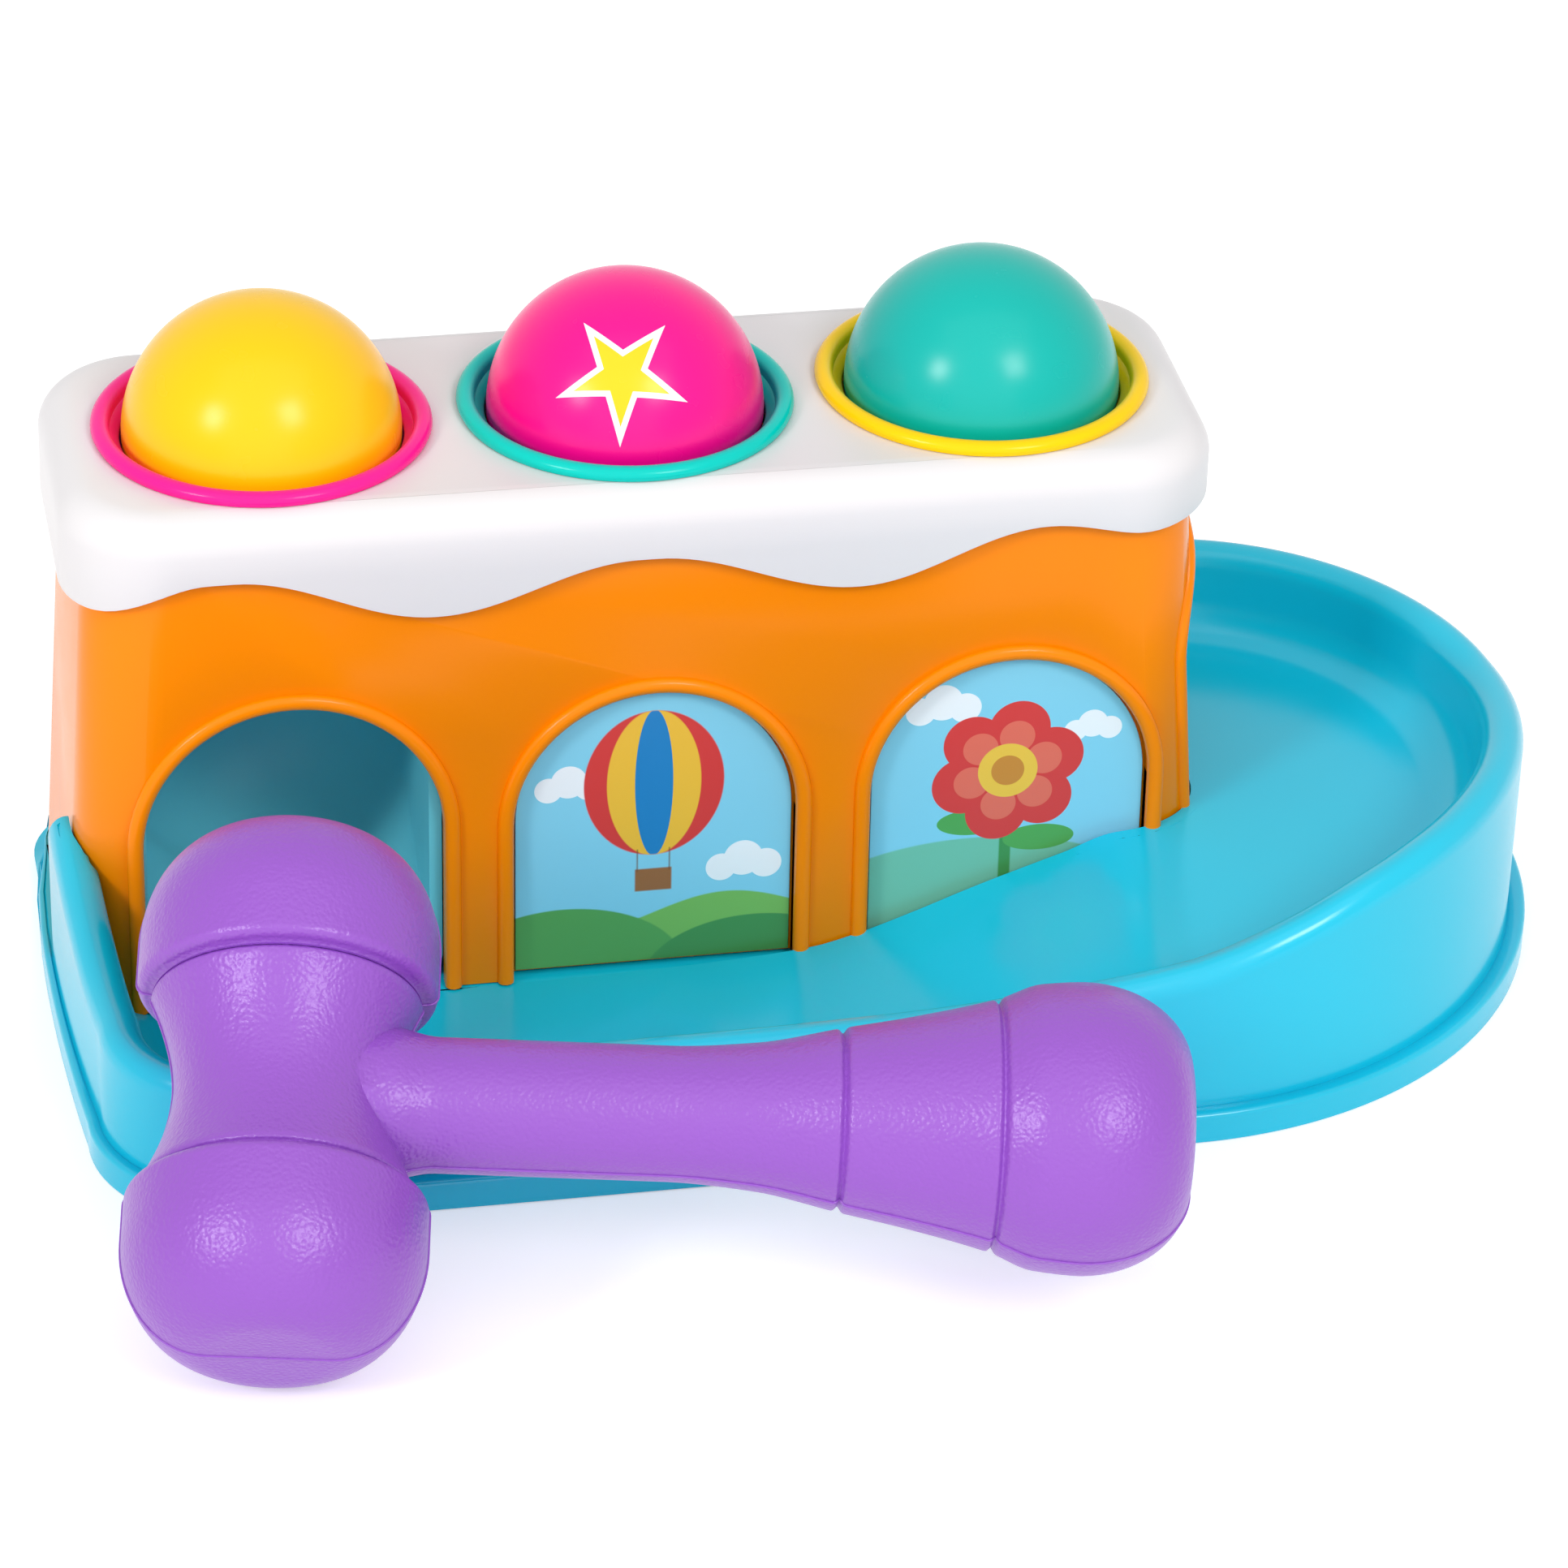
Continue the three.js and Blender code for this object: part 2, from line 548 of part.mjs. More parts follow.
function baseTray() {
  const list = stations();
  const tray = loft(trayLoops(list));
  const pan = plate(plinthOutline(LEDGE), 0, DECK);
  const ledge = less(
    loft([
      plinthOutline(LEDGE).map(([x, y]) => new THREE.Vector3(x, y, DECK - 0.1)),
      plinthOutline(LEDGE).map(([x, y]) => new THREE.Vector3(x, y, PLINTH - 0.7)),
      plinthOutline(LEDGE - 0.7).map(([x, y]) => new THREE.Vector3(x, y, PLINTH)),
    ]),
    [plate(plinthOutline(-1.5), DECK, PLINTH + 1)],
  );
  const posts = FOOT_POINTS.map(([x, y]) => cylinder(x, y, DECK - 1, POST, 4.4));
  const well = towerOutside(GAP + 0.1, DECK, 120);
  const under = loft(underLoops(list, TRAY_SKIN)).subtract(towerBlock(BEAD + TRAY_SKIN, -5, 120));
  const ribs = [-50, -15, 20].map((angle) => {
    const rib = new THREE.BoxGeometry(2 * CORNER_R + 10, 2, RIM_HIGH);
    rib.translate(2 * CORNER_R, 0, RIM_HIGH / 2 + 1);
    rib.rotateZ(THREE.MathUtils.degToRad(angle));
    rib.translate(END_X, END_Y, 0);
    return solid(rib).intersect(loft(underLoops(list, TRAY_SKIN / 2)));
  });
  const shell = union([less(union([pan, ledge, tray]), [well, under]), ...ribs]);
  const pockets = FOOT_POINTS.flatMap(([x, y]) => [
    cylinder(x, y, -1, POST - 3, SCREW_HEAD + GAP),
    cylinder(x, y, -1, POST + 1, SCREW_R + GAP),
  ]);
  const pieces = less(union([shell, ...posts]), pockets).decompose();
  return pieces.reduce((most, piece) => (piece.volume() > most.volume() ? piece : most));
}

// Screw: round head below, shank upward
function screw(x, y, z, length) {
  const head = cylinder(x, y, z, z + 2, SCREW_HEAD);
  const slotA = box(x - 1.6, x + 1.6, y - 0.35, y + 0.35, z - 1, z + 0.9);
  const slotB = box(x - 0.35, x + 0.35, y - 1.6, y + 1.6, z - 1, z + 0.9);
  const shank = cylinder(x, y, z + 1, z + 2 + length, SCREW_R, 10);
  return less(union([head, shank]), [slotA, slotB]);
}

// Hammer: head along Z, handle along X, then laid down in front of the tray
function hammerSolid(side, grip, sides) {
  const lower = side.slice().reverse().map(([r, z]) => [r, -z]);
  const head = solid(turned([...side, ...lower], sides));
  const handle = turned(grip, sides - 6);
  handle.rotateY(Math.PI / 2);
  return head.add(solid(handle));
}

function hammerOutside() {
  const r = HAMMER_R;
  const end = HAMMER_HALF;
  const dome = arc(9.8, end - 18.7, r - 9.8, 18.7, Math.PI / 2, 0, 7);
  const side = [
    [0, end], ...dome, [r, 18.6], [r - 0.5, 18], [NECK_R + 3.2, 17.6], [NECK_R + 2.4, 14.6],
    [NECK_R + 0.8, 9], [NECK_R, 3],
  ];
  const grip = [
    [0, 10], [HANDLE_R, 10], [HANDLE_R, 64], [12, 76], [14.8, 89.2], [14, 90], [15, 90.8],
    [17, 101], [20.2, 114.3], [19.4, 115.1], [20.6, 115.9], [GRIP_R - 0.8, 122], [GRIP_R, 129],
    [GRIP_R - 1, 136], [20, 142], [14, 145.7], [7, HANDLE_LENGTH], [0, HANDLE_LENGTH],
  ];
  return hammerSolid(side, grip, 30);
}

function hammerInside() {
  const w = HAMMER_WALL;
  const end = HAMMER_HALF - w;
  const r = HAMMER_R - w;
  const side = [[0, end], [9.8, end], [17, end - 4.6], [r, end - 14], [r, 20], [NECK_R - w, 8]];
  const grip = [
    [0, 6], [HANDLE_R - w, 6], [HANDLE_R - w, 66], [13 - w, 89], [18.5 - w, 114], [GRIP_R - w, 129],
    [13, 143.5], [0, 143.5],
  ];
  return hammerSolid(side, grip, 18);
}

// The step of the head hooks over the crest of the front rim, its low end stands on the ground
const HANDLE_DIR = new THREE.Vector3(0.9857, -0.1647, -0.0344).normalize();
const HEAD_DIR = new THREE.Vector3(0.1596, 0.8504, 0.5013).normalize();
const HEAD_LEAN = NECK_R + 2.9;
const HEAD_SLIDE = -13.4;
const HEAD_X = -74.3;

function hammerPlace() {
  const up = HEAD_DIR.clone().addScaledVector(HANDLE_DIR, -HEAD_DIR.dot(HANDLE_DIR)).normalize();
  const across = new THREE.Vector3().crossVectors(up, HANDLE_DIR);
  const turn = new THREE.Matrix4().makeBasis(HANDLE_DIR, across, up);
  const rise = Math.asin(HEAD_DIR.z);
  const y = FRONT + 1.2 - HEAD_LEAN * Math.sin(rise) + HEAD_SLIDE * Math.cos(rise);
  const z = RIM_LOW - 0.6 + HEAD_LEAN * Math.cos(rise) + HEAD_SLIDE * Math.sin(rise);
  return turn.setPosition(HEAD_X, y, z);
}

function hammerHalf(upper) {
  const shell = less(hammerOutside(), [hammerInside()]);
  const seam = 0.1;
  const r = 1.2 * HAMMER_R;
  const end = 1.1 * HANDLE_LENGTH;
  const high = 1.1 * HAMMER_HALF;
  const half = upper ? box(-r, end, -r, -seam, -high, high) : box(-r, end, seam, r, -high, high);
  return shell.intersect(half).transform(hammerPlace().elements);
}

// Assembly
const group = new THREE.Group();
group.name = 'pound_and_roll_tower';

function addPart(name, body, material) {
  const mesh = new THREE.Mesh(geometryOf(body), material);
  mesh.name = name;
  group.add(mesh);
}

addPart('base_tray', baseTray(), turquoise);
addPart('ball_chute', ballChute(), turquoise);
addPart('tower_shell', towerShell(), orange);
addPart('top_cap', topCap(), white);
addPart('picture_middle', picture(ARCHES[1]), plastic(0x8fd3e8, 0.35));
addPart('picture_right', picture(ARCHES[2]), plastic(0x9bdcf0, 0.35));

const SIDES = [
  { name: 'left', ring: 0xfd298f, ball: 0xffcd00 },
  { name: 'middle', ring: 0x00cdc1, ball: 0xff0096 },
  { name: 'right', ring: 0xfdda08, ball: 0x00c4b4 },
];
SIDES.forEach((side, i) => {
  const ball = plastic(side.ball, 0.2);
  addPart(`collar_${side.name}`, collar(HOLES[i]), plastic(side.ring, 0.25));
  addPart(`ball_${side.name}_upper`, ballHalf(HOLES[i], true), ball);
  addPart(`ball_${side.name}_lower`, ballHalf(HOLES[i], false), ball);
});
addPart('hammer_upper', hammerHalf(true), purple);
addPart('hammer_lower', hammerHalf(false), purple);
FOOT_POINTS.forEach(([x, y], i) => {
  addPart(`tower_screw_${i + 1}`, screw(x, y, POST - 3 - GAP - 2, 10), steel);
});
CAP_POINTS.forEach(([x, y], i) => {
  addPart(`cap_screw_${i + 1}`, screw(x, y, LUG - GAP - 2, 11), steel);
});

export default group;
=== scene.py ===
"""Pound and roll tower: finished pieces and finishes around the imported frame.

Sizes are in millimetres until a mesh is made.
"""
import math

import bpy
from mathutils import Matrix, Vector


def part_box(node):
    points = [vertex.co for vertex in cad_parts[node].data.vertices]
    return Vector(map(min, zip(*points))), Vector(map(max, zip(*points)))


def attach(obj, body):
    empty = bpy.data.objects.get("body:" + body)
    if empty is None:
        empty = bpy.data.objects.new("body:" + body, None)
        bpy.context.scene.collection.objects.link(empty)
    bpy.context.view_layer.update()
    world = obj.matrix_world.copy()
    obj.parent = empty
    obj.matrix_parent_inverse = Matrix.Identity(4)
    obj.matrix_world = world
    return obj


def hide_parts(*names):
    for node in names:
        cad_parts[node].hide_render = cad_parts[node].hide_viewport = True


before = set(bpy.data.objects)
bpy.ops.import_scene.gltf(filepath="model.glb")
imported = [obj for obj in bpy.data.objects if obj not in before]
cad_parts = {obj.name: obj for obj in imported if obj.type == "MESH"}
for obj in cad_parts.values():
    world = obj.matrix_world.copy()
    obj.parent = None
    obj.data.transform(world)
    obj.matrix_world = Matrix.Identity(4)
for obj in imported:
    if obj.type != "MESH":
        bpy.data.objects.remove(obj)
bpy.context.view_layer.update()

MM = 0.001


def node_box(name):
    """Lowest and highest corner of a CAD node in millimetres."""
    low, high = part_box(name)
    return low / MM, high / MM


# Sizes read from the frame
CAP_HIGH = node_box("top_cap")[1]
TOWER_HIGH = node_box("tower_shell")[1]
BALL_LOW, BALL_HIGH = node_box("ball_middle_upper")
COLLAR_LOW, COLLAR_HIGH = node_box("collar_middle")
BASE_LOW, BASE_HIGH = node_box("base_tray")
PITCH = -node_box("ball_left_upper")[0].x + BALL_LOW.x
BALL_R = BALL_HIGH.x
BALL_Z = BALL_HIGH.z - BALL_R
CAP_X, CAP_Y, CAP_TOP = CAP_HIGH
COLLAR_R = COLLAR_HIGH.x
TOWER_X, TOWER_Y = TOWER_HIGH.x, TOWER_HIGH.y

# Sizes of the mouldings
QUARTER = math.pi / 2
GAP = 0.4
DECK = 3.0
PLINTH = 5.6
LEDGE = 3.3
TOWER_FOOT = 3.3
TOWER_CORNER = 14.0
TOWER_WALL = 2.4
END_DRAFT = 0.054
SIDE_DRAFT = 0.035
BEAD_OUT = 1.3
BEAD_WIDTH = 2.9
RECESS = 2.5
RIM_WIDTH = 7.4
TRAY_SKIN = 2.2
CAP_CORNER = 18.0
CAP_FILLET = 6.5
CAP_WALL = 2.2
RAMP_END = 27.6
RAMP_RISE = 8.4
PLATFORM = RAMP_END - 2.1
RIM_HIGH = PLATFORM + 15.5
RIM_LOW = DECK + 23
WELD = 0.00001
FINE_WELD = 0.000002
EXIT_HALF = BALL_R + 1.5
EXIT_TOP = CAP_TOP - 20
ARCH_SHIFT = 0.8
ARCHES = (
    {"x": ARCH_SHIFT - PITCH, "half": BALL_R + 2, "apex": CAP_TOP - 38, "open": True},
    {"x": ARCH_SHIFT, "half": BALL_R + 0.9, "apex": CAP_TOP - 40, "open": False},
    {"x": ARCH_SHIFT + PITCH, "half": BALL_R + 0.9, "apex": CAP_TOP - 38.8, "open": False},
)


# Modelling helpers


def activate(*pieces):
    """The pieces alone are selected, the first of them active."""
    bpy.ops.object.select_all(action="DESELECT")
    for piece in pieces:
        piece.select_set(True)
    bpy.context.view_layer.objects.active = pieces[0]


def drawn(name, points, edges=(), faces=()):
    """A mesh drawn from points in millimetres."""
    mesh = bpy.data.meshes.new(name)
    mesh.from_pydata([Vector(p) * MM for p in points], edges, faces)
    piece = bpy.data.objects.new(name, mesh)
    bpy.context.scene.collection.objects.link(piece)
    activate(piece)
    return piece


def line(name, points, closed=False):
    """Points joined by edges."""
    edges = [(i, i + 1) for i in range(len(points) - 1)]
    if closed:
        edges.append((len(points) - 1, 0))
    return drawn(name, points, edges)


def edit(operator, pick=None, kind="VERT", **settings):
    """One edit mode operator on what is picked of the active piece, or on all of it."""
    mesh = bpy.context.object.data
    bpy.context.tool_settings.mesh_select_mode = (kind == "VERT", kind == "EDGE", kind == "FACE")
    bpy.ops.object.mode_set(mode="EDIT")
    bpy.ops.mesh.select_all(action="DESELECT" if pick else "SELECT")
    if pick:
        bpy.ops.object.mode_set(mode="OBJECT")
        for part in {"VERT": mesh.vertices, "EDGE": mesh.edges, "FACE": mesh.polygons}[kind]:
            part.select = bool(pick(mesh, part))
        bpy.ops.object.mode_set(mode="EDIT")
    operator(**settings)
    bpy.ops.object.mode_set(mode="OBJECT")


def above(height):
    """Picks vertices, or edges by both their ends, above a height."""

    def pick(mesh, part):
        ends = [mesh.vertices[i] for i in part.vertices] if hasattr(part, "vertices") else [part]
        return all(end.co.z > height * MM for end in ends)

    return pick


def upright(mesh, edge):
    """Picks edges that stand."""
    a, b = (mesh.vertices[i].co for i in edge.vertices)
    return abs(a.z - b.z) > abs(a.x - b.x) + abs(a.y - b.y)


def finish_mesh(piece):
    """Doubles merged, faces turned outwards."""
    activate(piece)
    edit(bpy.ops.mesh.remove_doubles, threshold=WELD)
    edit(bpy.ops.mesh.normals_make_consistent, inside=False)
    return piece


def modify(piece, kind, **settings):
    """One modifier, applied."""
    activate(piece)
    modifier = piece.modifiers.new(kind.title(), kind)
    for key, value in settings.items():
        setattr(modifier, key, value)
    bpy.ops.object.modifier_apply(modifier=modifier.name)
    return piece


def cut(piece, *cutters):
    """The cutters taken out of the piece, and then away."""
    for cutter in cutters:
        modify(piece, "BOOLEAN", operation="DIFFERENCE", solver="EXACT", object=cutter)
        bpy.data.objects.remove(cutter)
    return piece


def join(piece, *others):
    """The others become part of the piece."""
    activate(piece, *others)
    bpy.ops.object.join()
    return piece


def soften(piece, width, segments=3, angle=35):
    """Rounded edges and smooth shading."""
    if width:
        modify(
            piece, "BEVEL", width=width * MM, segments=segments, limit_method="ANGLE",
            angle_limit=math.radians(angle), harden_normals=False,
        )
    activate(piece)
    bpy.ops.object.shade_smooth_by_angle(angle=math.radians(angle))
    return piece


def spun(name, profile, steps=96, closed=True, place=None):
    """A profile of (radius, height) turned about Z, then placed by a matrix."""
    piece = line(name, [(r, 0, z) for r, z in profile], closed)
    edit(
        bpy.ops.mesh.spin,
        steps=steps, angle=math.tau, center=(0, 0, 0), axis=(0, 0, 1), use_auto_merge=True,
    )
    finish_mesh(piece)
    if place is not None:
        piece.data.transform(place)
    return piece


def arc(cx, cy, rx, ry, start, stop, steps):
    """Points on an ellipse between two angles."""
    angles = [start + (stop - start) * i / steps for i in range(steps + 1)]
    return [(cx + rx * math.cos(a), cy + ry * math.sin(a)) for a in angles]


def slab(name, outline, y0, y1):
    """An outline in X and Z, filled and pushed along Y."""
    piece = drawn(name, [(x, y0, z) for x, z in outline], faces=[range(len(outline))])
    edit(
        bpy.ops.mesh.extrude_region_move,
        TRANSFORM_OT_translate={"value": (0, (y1 - y0) * MM, 0)},
    )
    return finish_mesh(piece)


def tube(name, points, radius):
    """A round bar along a line."""
    piece = line(name, points)
    bpy.ops.object.convert(target="CURVE")
    curve = piece.data
    curve.bevel_depth = radius * MM
    curve.bevel_resolution = 4
    curve.use_fill_caps = True
    bpy.ops.object.convert(target="MESH")
    return finish_mesh(bpy.context.object)


def eased(table, at):
    """Value between the table's points, by a smooth cubic through them."""
    at = min(max(at, table[0][0]), table[-1][0])
    k = max(i for i in range(len(table) - 1) if table[i][0] <= at)
    (x0, y0), (x1, y1) = table[k], table[k + 1]

    def slope(i):
        """Slope at a point of the table, level at its ends and turns."""
        if i in (0, len(table) - 1):
            return 0.0
        before = (table[i][1] - table[i - 1][1]) / (table[i][0] - table[i - 1][0])
        after = (table[i + 1][1] - table[i][1]) / (table[i + 1][0] - table[i][0])
        return 0.0 if before * after <= 0 else 2 * before * after / (before + after)

    t, span = (at - x0) / (x1 - x0), x1 - x0
    keep = (1 + 2 * t) * (1 - t) ** 2
    lean = t * (1 - t) ** 2 * slope(k) - t * t * (1 - t) * slope(k + 1)
    return keep * y0 + (1 - keep) * y1 + span * lean


def skin(name, rows, thickness, offset, closed=False):
    """Rows of points joined to a sheet, the last to the first where closed, then given a thickness."""
    count = len(rows[0])
    rounds = len(rows) if closed else len(rows) - 1
    faces = []
    for i in range(rounds):
        for j in range(count - 1):
            a, b = i * count + j, (i + 1) % len(rows) * count + j
            faces.append((a, b, b + 1, a + 1))
    sheet = drawn(name, [point for row in rows for point in row], faces=faces)
    edit(bpy.ops.mesh.remove_doubles, threshold=FINE_WELD)
    edit(bpy.ops.mesh.dissolve_degenerate, threshold=FINE_WELD)
    edit(bpy.ops.mesh.normals_make_consistent, inside=False)
    modify(sheet, "SOLIDIFY", thickness=thickness * MM, offset=offset)
    return soften(sheet, 0, angle=40)


# Shader helpers


class Socket:
    """A shader value with Python operators."""

    def __init__(self, tree, socket):
        self.tree = tree
        self.socket = socket

    def maths(self, operation, *values):
        """A math node on these values."""
        return self.tree.node("ShaderNodeMath", {"operation": operation}, *values)

    def __add__(self, other):
        return self.maths("ADD", self, other)

    def __sub__(self, other):
        return self.maths("SUBTRACT", self, other)

    def __mul__(self, other):
        return self.maths("MULTIPLY", self, other)

    def __truediv__(self, other):
        return self.maths("DIVIDE", self, other)

    def __radd__(self, other):
        return self.maths("ADD", other, self)

    def __rsub__(self, other):
        return self.maths("SUBTRACT", other, self)

    def __rmul__(self, other):
        return self.maths("MULTIPLY", other, self)

    def __lt__(self, other):
        return self.maths("LESS_THAN", self, other)

    def __gt__(self, other):
        return self.maths("GREATER_THAN", self, other)

    def sqrt(self):
        return self.maths("SQRT", self)

    def least(self, other):
        return self.maths("MINIMUM", self, other)

    def most(self, other):
        return self.maths("MAXIMUM", self, other)


class Finish:
    """A material and the nodes that make it."""

    def __init__(self, name, owner=None):
        self.material = owner or bpy.data.materials.new(name)
        self.material.use_nodes = True
        self.nodes = self.material.node_tree.nodes
        self.links = self.material.node_tree.links
        self.shader = self.nodes.get("Principled BSDF")

    def feed(self, socket, value):
        """A link for a socket, a plain setting for a number or colour."""
        if isinstance(value, Socket):
            self.links.new(value.socket, socket)
        else:
            socket.default_value = value

    def node(self, kind, settings=None, *values, out=0, **inputs):
        """A node with its settings, then its inputs by order or by name."""
        made = self.nodes.new(kind)
        for key, value in (settings or {}).items():
            setattr(made, key, value)
        for socket, value in zip(made.inputs, values):
            self.feed(socket, value)
        for key, value in inputs.items():
            self.feed(made.inputs[key.replace("_", " ")], value)
        return Socket(self, made.outputs[out])

    def place(self, location=(0, 0, 0), rotation=(0, 0, 0)):
        """Object coordinates moved and turned."""
        coordinate = self.node("ShaderNodeTexCoord", out="Object")
        return self.node(
            "ShaderNodeMapping", {"vector_type": "TEXTURE"},
            Vector=coordinate, Location=location, Rotation=rotation,
        )

    def axes(self, vector):
        """The three parts of a vector."""
        parts = self.node("ShaderNodeSeparateXYZ", None, vector).socket.node
        return [Socket(self, socket) for socket in parts.outputs]

    def noise(self, scale, detail=2.0):
        """Noise in object coordinates."""
        spot = self.node("ShaderNodeTexCoord", out="Object")
        return self.node("ShaderNodeTexNoise", None, Vector=spot, Scale=scale, Detail=detail)

    def blend(self, factor, first, second):
        """Two colours mixed."""
        made = self.nodes.new("ShaderNodeMix")
        made.data_type = "RGBA"
        for key, value in (("Factor_Float", factor), ("A_Color", first), ("B_Color", second)):
            socket = next(s for s in made.inputs if s.identifier == key)
            self.feed(socket, value)
        return Socket(self, next(s for s in made.outputs if s.identifier == "Result_Color"))

    def bump(self, height, strength, distance):
        """The surface's normal from a height."""
        normal = self.node("ShaderNodeBump", None, Strength=strength, Distance=distance, Height=height)
        self.set(Normal=normal)

    def set(self, **inputs):
        """The main shader's inputs by name."""
        for key, value in inputs.items():
            self.feed(self.shader.inputs[key.replace("_", " ")], value)
        return self


def linear(red, green, blue):
    """A screen colour from 0 to 255 as the shader wants it."""
    channels = []
    for value in (red, green, blue):
        value /= 255
        channels.append(value / 12.92 if value <= 0.04045 else ((value + 0.055) / 1.055) ** 2.4)
    return (*channels, 1.0)


def shade(colour, factor):
    """A colour made lighter or darker."""
    return (*[min(1.0, c * factor) for c in colour[:3]], 1.0)


def moulded(name, colour, rough=0.2, mottle=0.03, grain=0.01, gloss=0.18):
    """Glossy moulded plastic: faint flow mottling, uneven gloss, slight ripple."""
    finish = Finish(name)
    flow = finish.noise(18.0, 3.0)
    fine = finish.noise(140.0, 2.0)
    ripple = finish.noise(320.0, 1.0)
    finish.set(
        Base_Color=finish.blend(flow, shade(colour, 1 - mottle), shade(colour, 1 + mottle)),
        Roughness=rough - 0.04 + 0.08 * fine,
        IOR=1.49,
        Specular_IOR_Level=gloss,
    )
    finish.bump(ripple + 0.5 * fine, grain, 0.0003)
    return finish


def clothe(piece, finish, body, *replaced, slot=None):
    """A finished piece takes its material, rides on its body and stands for its CAD nodes."""
    piece.data.materials.clear()
    piece.data.materials.append(finish.material)
    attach(piece, body)
    if replaced:
        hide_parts(*replaced)
    return piece


# Finishes
BALL_ROUGH = 0.26
BALL_GLOSS = 0.3
TURQUOISE = moulded("turquoise plastic", linear(10, 192, 222), gloss=0.5)
# The chute's turquoise is greyed and paler than the tray's: a painted sheen, standing in for the white
# reflection on its satin surface, over the plastic's own turquoise.
PAINTED_SHEEN_SATIN = moulded("satin turquoise plastic with painted sheen", linear(105, 205, 222), rough=0.5, gloss=0.6)
ORANGE = moulded("orange plastic", linear(255, 138, 0))
WHITE = moulded("white plastic", linear(229, 226, 227), rough=0.3, mottle=0.008, grain=0.006, gloss=0.14)
PINK_RING = moulded("pink collar plastic", linear(254, 30, 146))
TEAL_RING = moulded("teal collar plastic", linear(0, 200, 188))
YELLOW_RING = moulded("yellow collar plastic", linear(255, 206, 0))
YELLOW_BALL = moulded("yellow ball plastic", linear(255, 199, 0), BALL_ROUGH, gloss=BALL_GLOSS)
TEAL_BALL = moulded("teal ball plastic", linear(0, 179, 168), BALL_ROUGH, gloss=BALL_GLOSS)


# Tower
ARCH_LIP = 2.0
ARCH_CUT = (-10, 12)
EXIT_CUT = (-120, -60)
BEAD_SINK = 0.1
EXIT_SILL = PLATFORM - 1.5
EXIT_BEAD_FOOT = PLATFORM - 8


def tower_half(z):
    """Half length and half depth of the drafted tower at a height."""
    return TOWER_X - END_DRAFT * (z - DECK), TOWER_Y - SIDE_DRAFT * (z - DECK)


def outline_gap(x, y, half_x, half_y, corner):
    """Distance outside a rounded rectangle, negative inside."""
    qx, qy = abs(x) - half_x + corner, abs(y) - half_y + corner
    return math.hypot(max(qx, 0), max(qy, 0)) + min(max(qx, qy), 0) - corner


FRONT_WALL = (
    Matrix.Translation((0, -TOWER_Y * MM, DECK * MM))
    @ Matrix.Rotation(-math.atan(SIDE_DRAFT), 4, "X")
    @ Matrix.Translation((0, 0, -DECK * MM))
)


def arch_line(x, half, apex, foot, steps=40):
    """From the right foot over the arch to the left foot."""
    return [(x + half, foot), *arc(x, apex - half, half, half, 0, math.pi, steps), (x - half, foot)]


def rounded_block(name, half_x, half_y, corner, low, high, steps=10):
    """A box with round upright edges."""
    bpy.ops.mesh.primitive_cube_add(size=1)
    piece = bpy.context.object
    piece.name = name
    size = Matrix.Diagonal((2 * half_x * MM, 2 * half_y * MM, (high - low) * MM, 1))
    piece.data.transform(Matrix.Translation((0, 0, (low + high) / 2 * MM)) @ size)
    activate(piece)
    edit(bpy.ops.mesh.bevel, upright, "EDGE", offset=corner * MM, segments=steps, affect="EDGES")
    return piece


def end_x(y, z):
    """Where the right end wall stands at a height."""
    half_x, half_y = tower_half(z)
    past = max(0.0, abs(y) - half_y + TOWER_CORNER)
    return half_x - TOWER_CORNER + math.sqrt(max(0.0, TOWER_CORNER**2 - past**2))


def make_arch(tower, arch):
    """Cuts one arch in the front wall and gives back its bead, with the recessed panel of a closed one."""
    x, half, apex = arch["x"], arch["half"], arch["apex"]
    opening = slab("opening", arch_line(x, half, apex, TOWER_FOOT - 6), *ARCH_CUT)
    opening.data.transform(FRONT_WALL)
    cut(tower, opening)
    middle = BEAD_WIDTH / 2
    path = arch_line(x, half + middle, apex + middle, TOWER_FOOT)
    bead = tube("bead", [(px, 0, pz) for px, pz in path], middle)
    bead.data.transform(FRONT_WALL @ Matrix.Diagonal((1, BEAD_OUT / middle, 1, 1)))
    if arch["open"]:
        return [bead]
    wall = arch_line(x, half + ARCH_LIP, apex + ARCH_LIP, TOWER_FOOT + 0.5)
    panel = slab("panel", wall, RECESS, RECESS + TOWER_WALL)
    panel.data.transform(FRONT_WALL)
    lip = slab("lip", wall, 0.6, RECESS + 0.4)
    cut(lip, slab("hollow", arch_line(x, half, apex, TOWER_FOOT - 3), -2, 5))
    lip.data.transform(FRONT_WALL)
    return [bead, panel, lip]


def make_tower():
    """Drafted sleeve with beaded arches in front and an exit in its right end."""
    high = TOWER_HIGH.z
    tower = rounded_block("tower", TOWER_X, TOWER_Y, TOWER_CORNER, TOWER_FOOT, high)
    top_x, top_y = tower_half(high)
    edit(
        bpy.ops.transform.resize, above(high - 1), value=(top_x / TOWER_X, top_y / TOWER_Y, 1),
        center_override=(0, 0, high * MM),
    )
    edit(bpy.ops.mesh.delete, lambda mesh, face: abs(face.normal.z) > 0.9, "FACE", type="FACE")
    modify(tower, "SOLIDIFY", thickness=TOWER_WALL * MM, offset=-1)
    extras = []
    for arch in ARCHES:
        extras += make_arch(tower, arch)
    way_out = slab("exit", arch_line(0, EXIT_HALF, EXIT_TOP, EXIT_SILL), *EXIT_CUT)
    way_out.data.transform(Matrix.Rotation(QUARTER, 4, "Z"))
    cut(tower, way_out)
    middle = BEAD_WIDTH / 2
    path = arch_line(0, EXIT_HALF + middle, EXIT_TOP + middle, EXIT_BEAD_FOOT, 48)
    extras.append(tube("exit_bead", [(end_x(y, z) - BEAD_SINK, y, z) for y, z in path], middle))
    soften(tower, 0.5, 2)
    for extra in extras:
        soften(extra, 0)
    join(tower, *extras)
    return clothe(tower, ORANGE, "tower", "tower_shell", slot="orange")


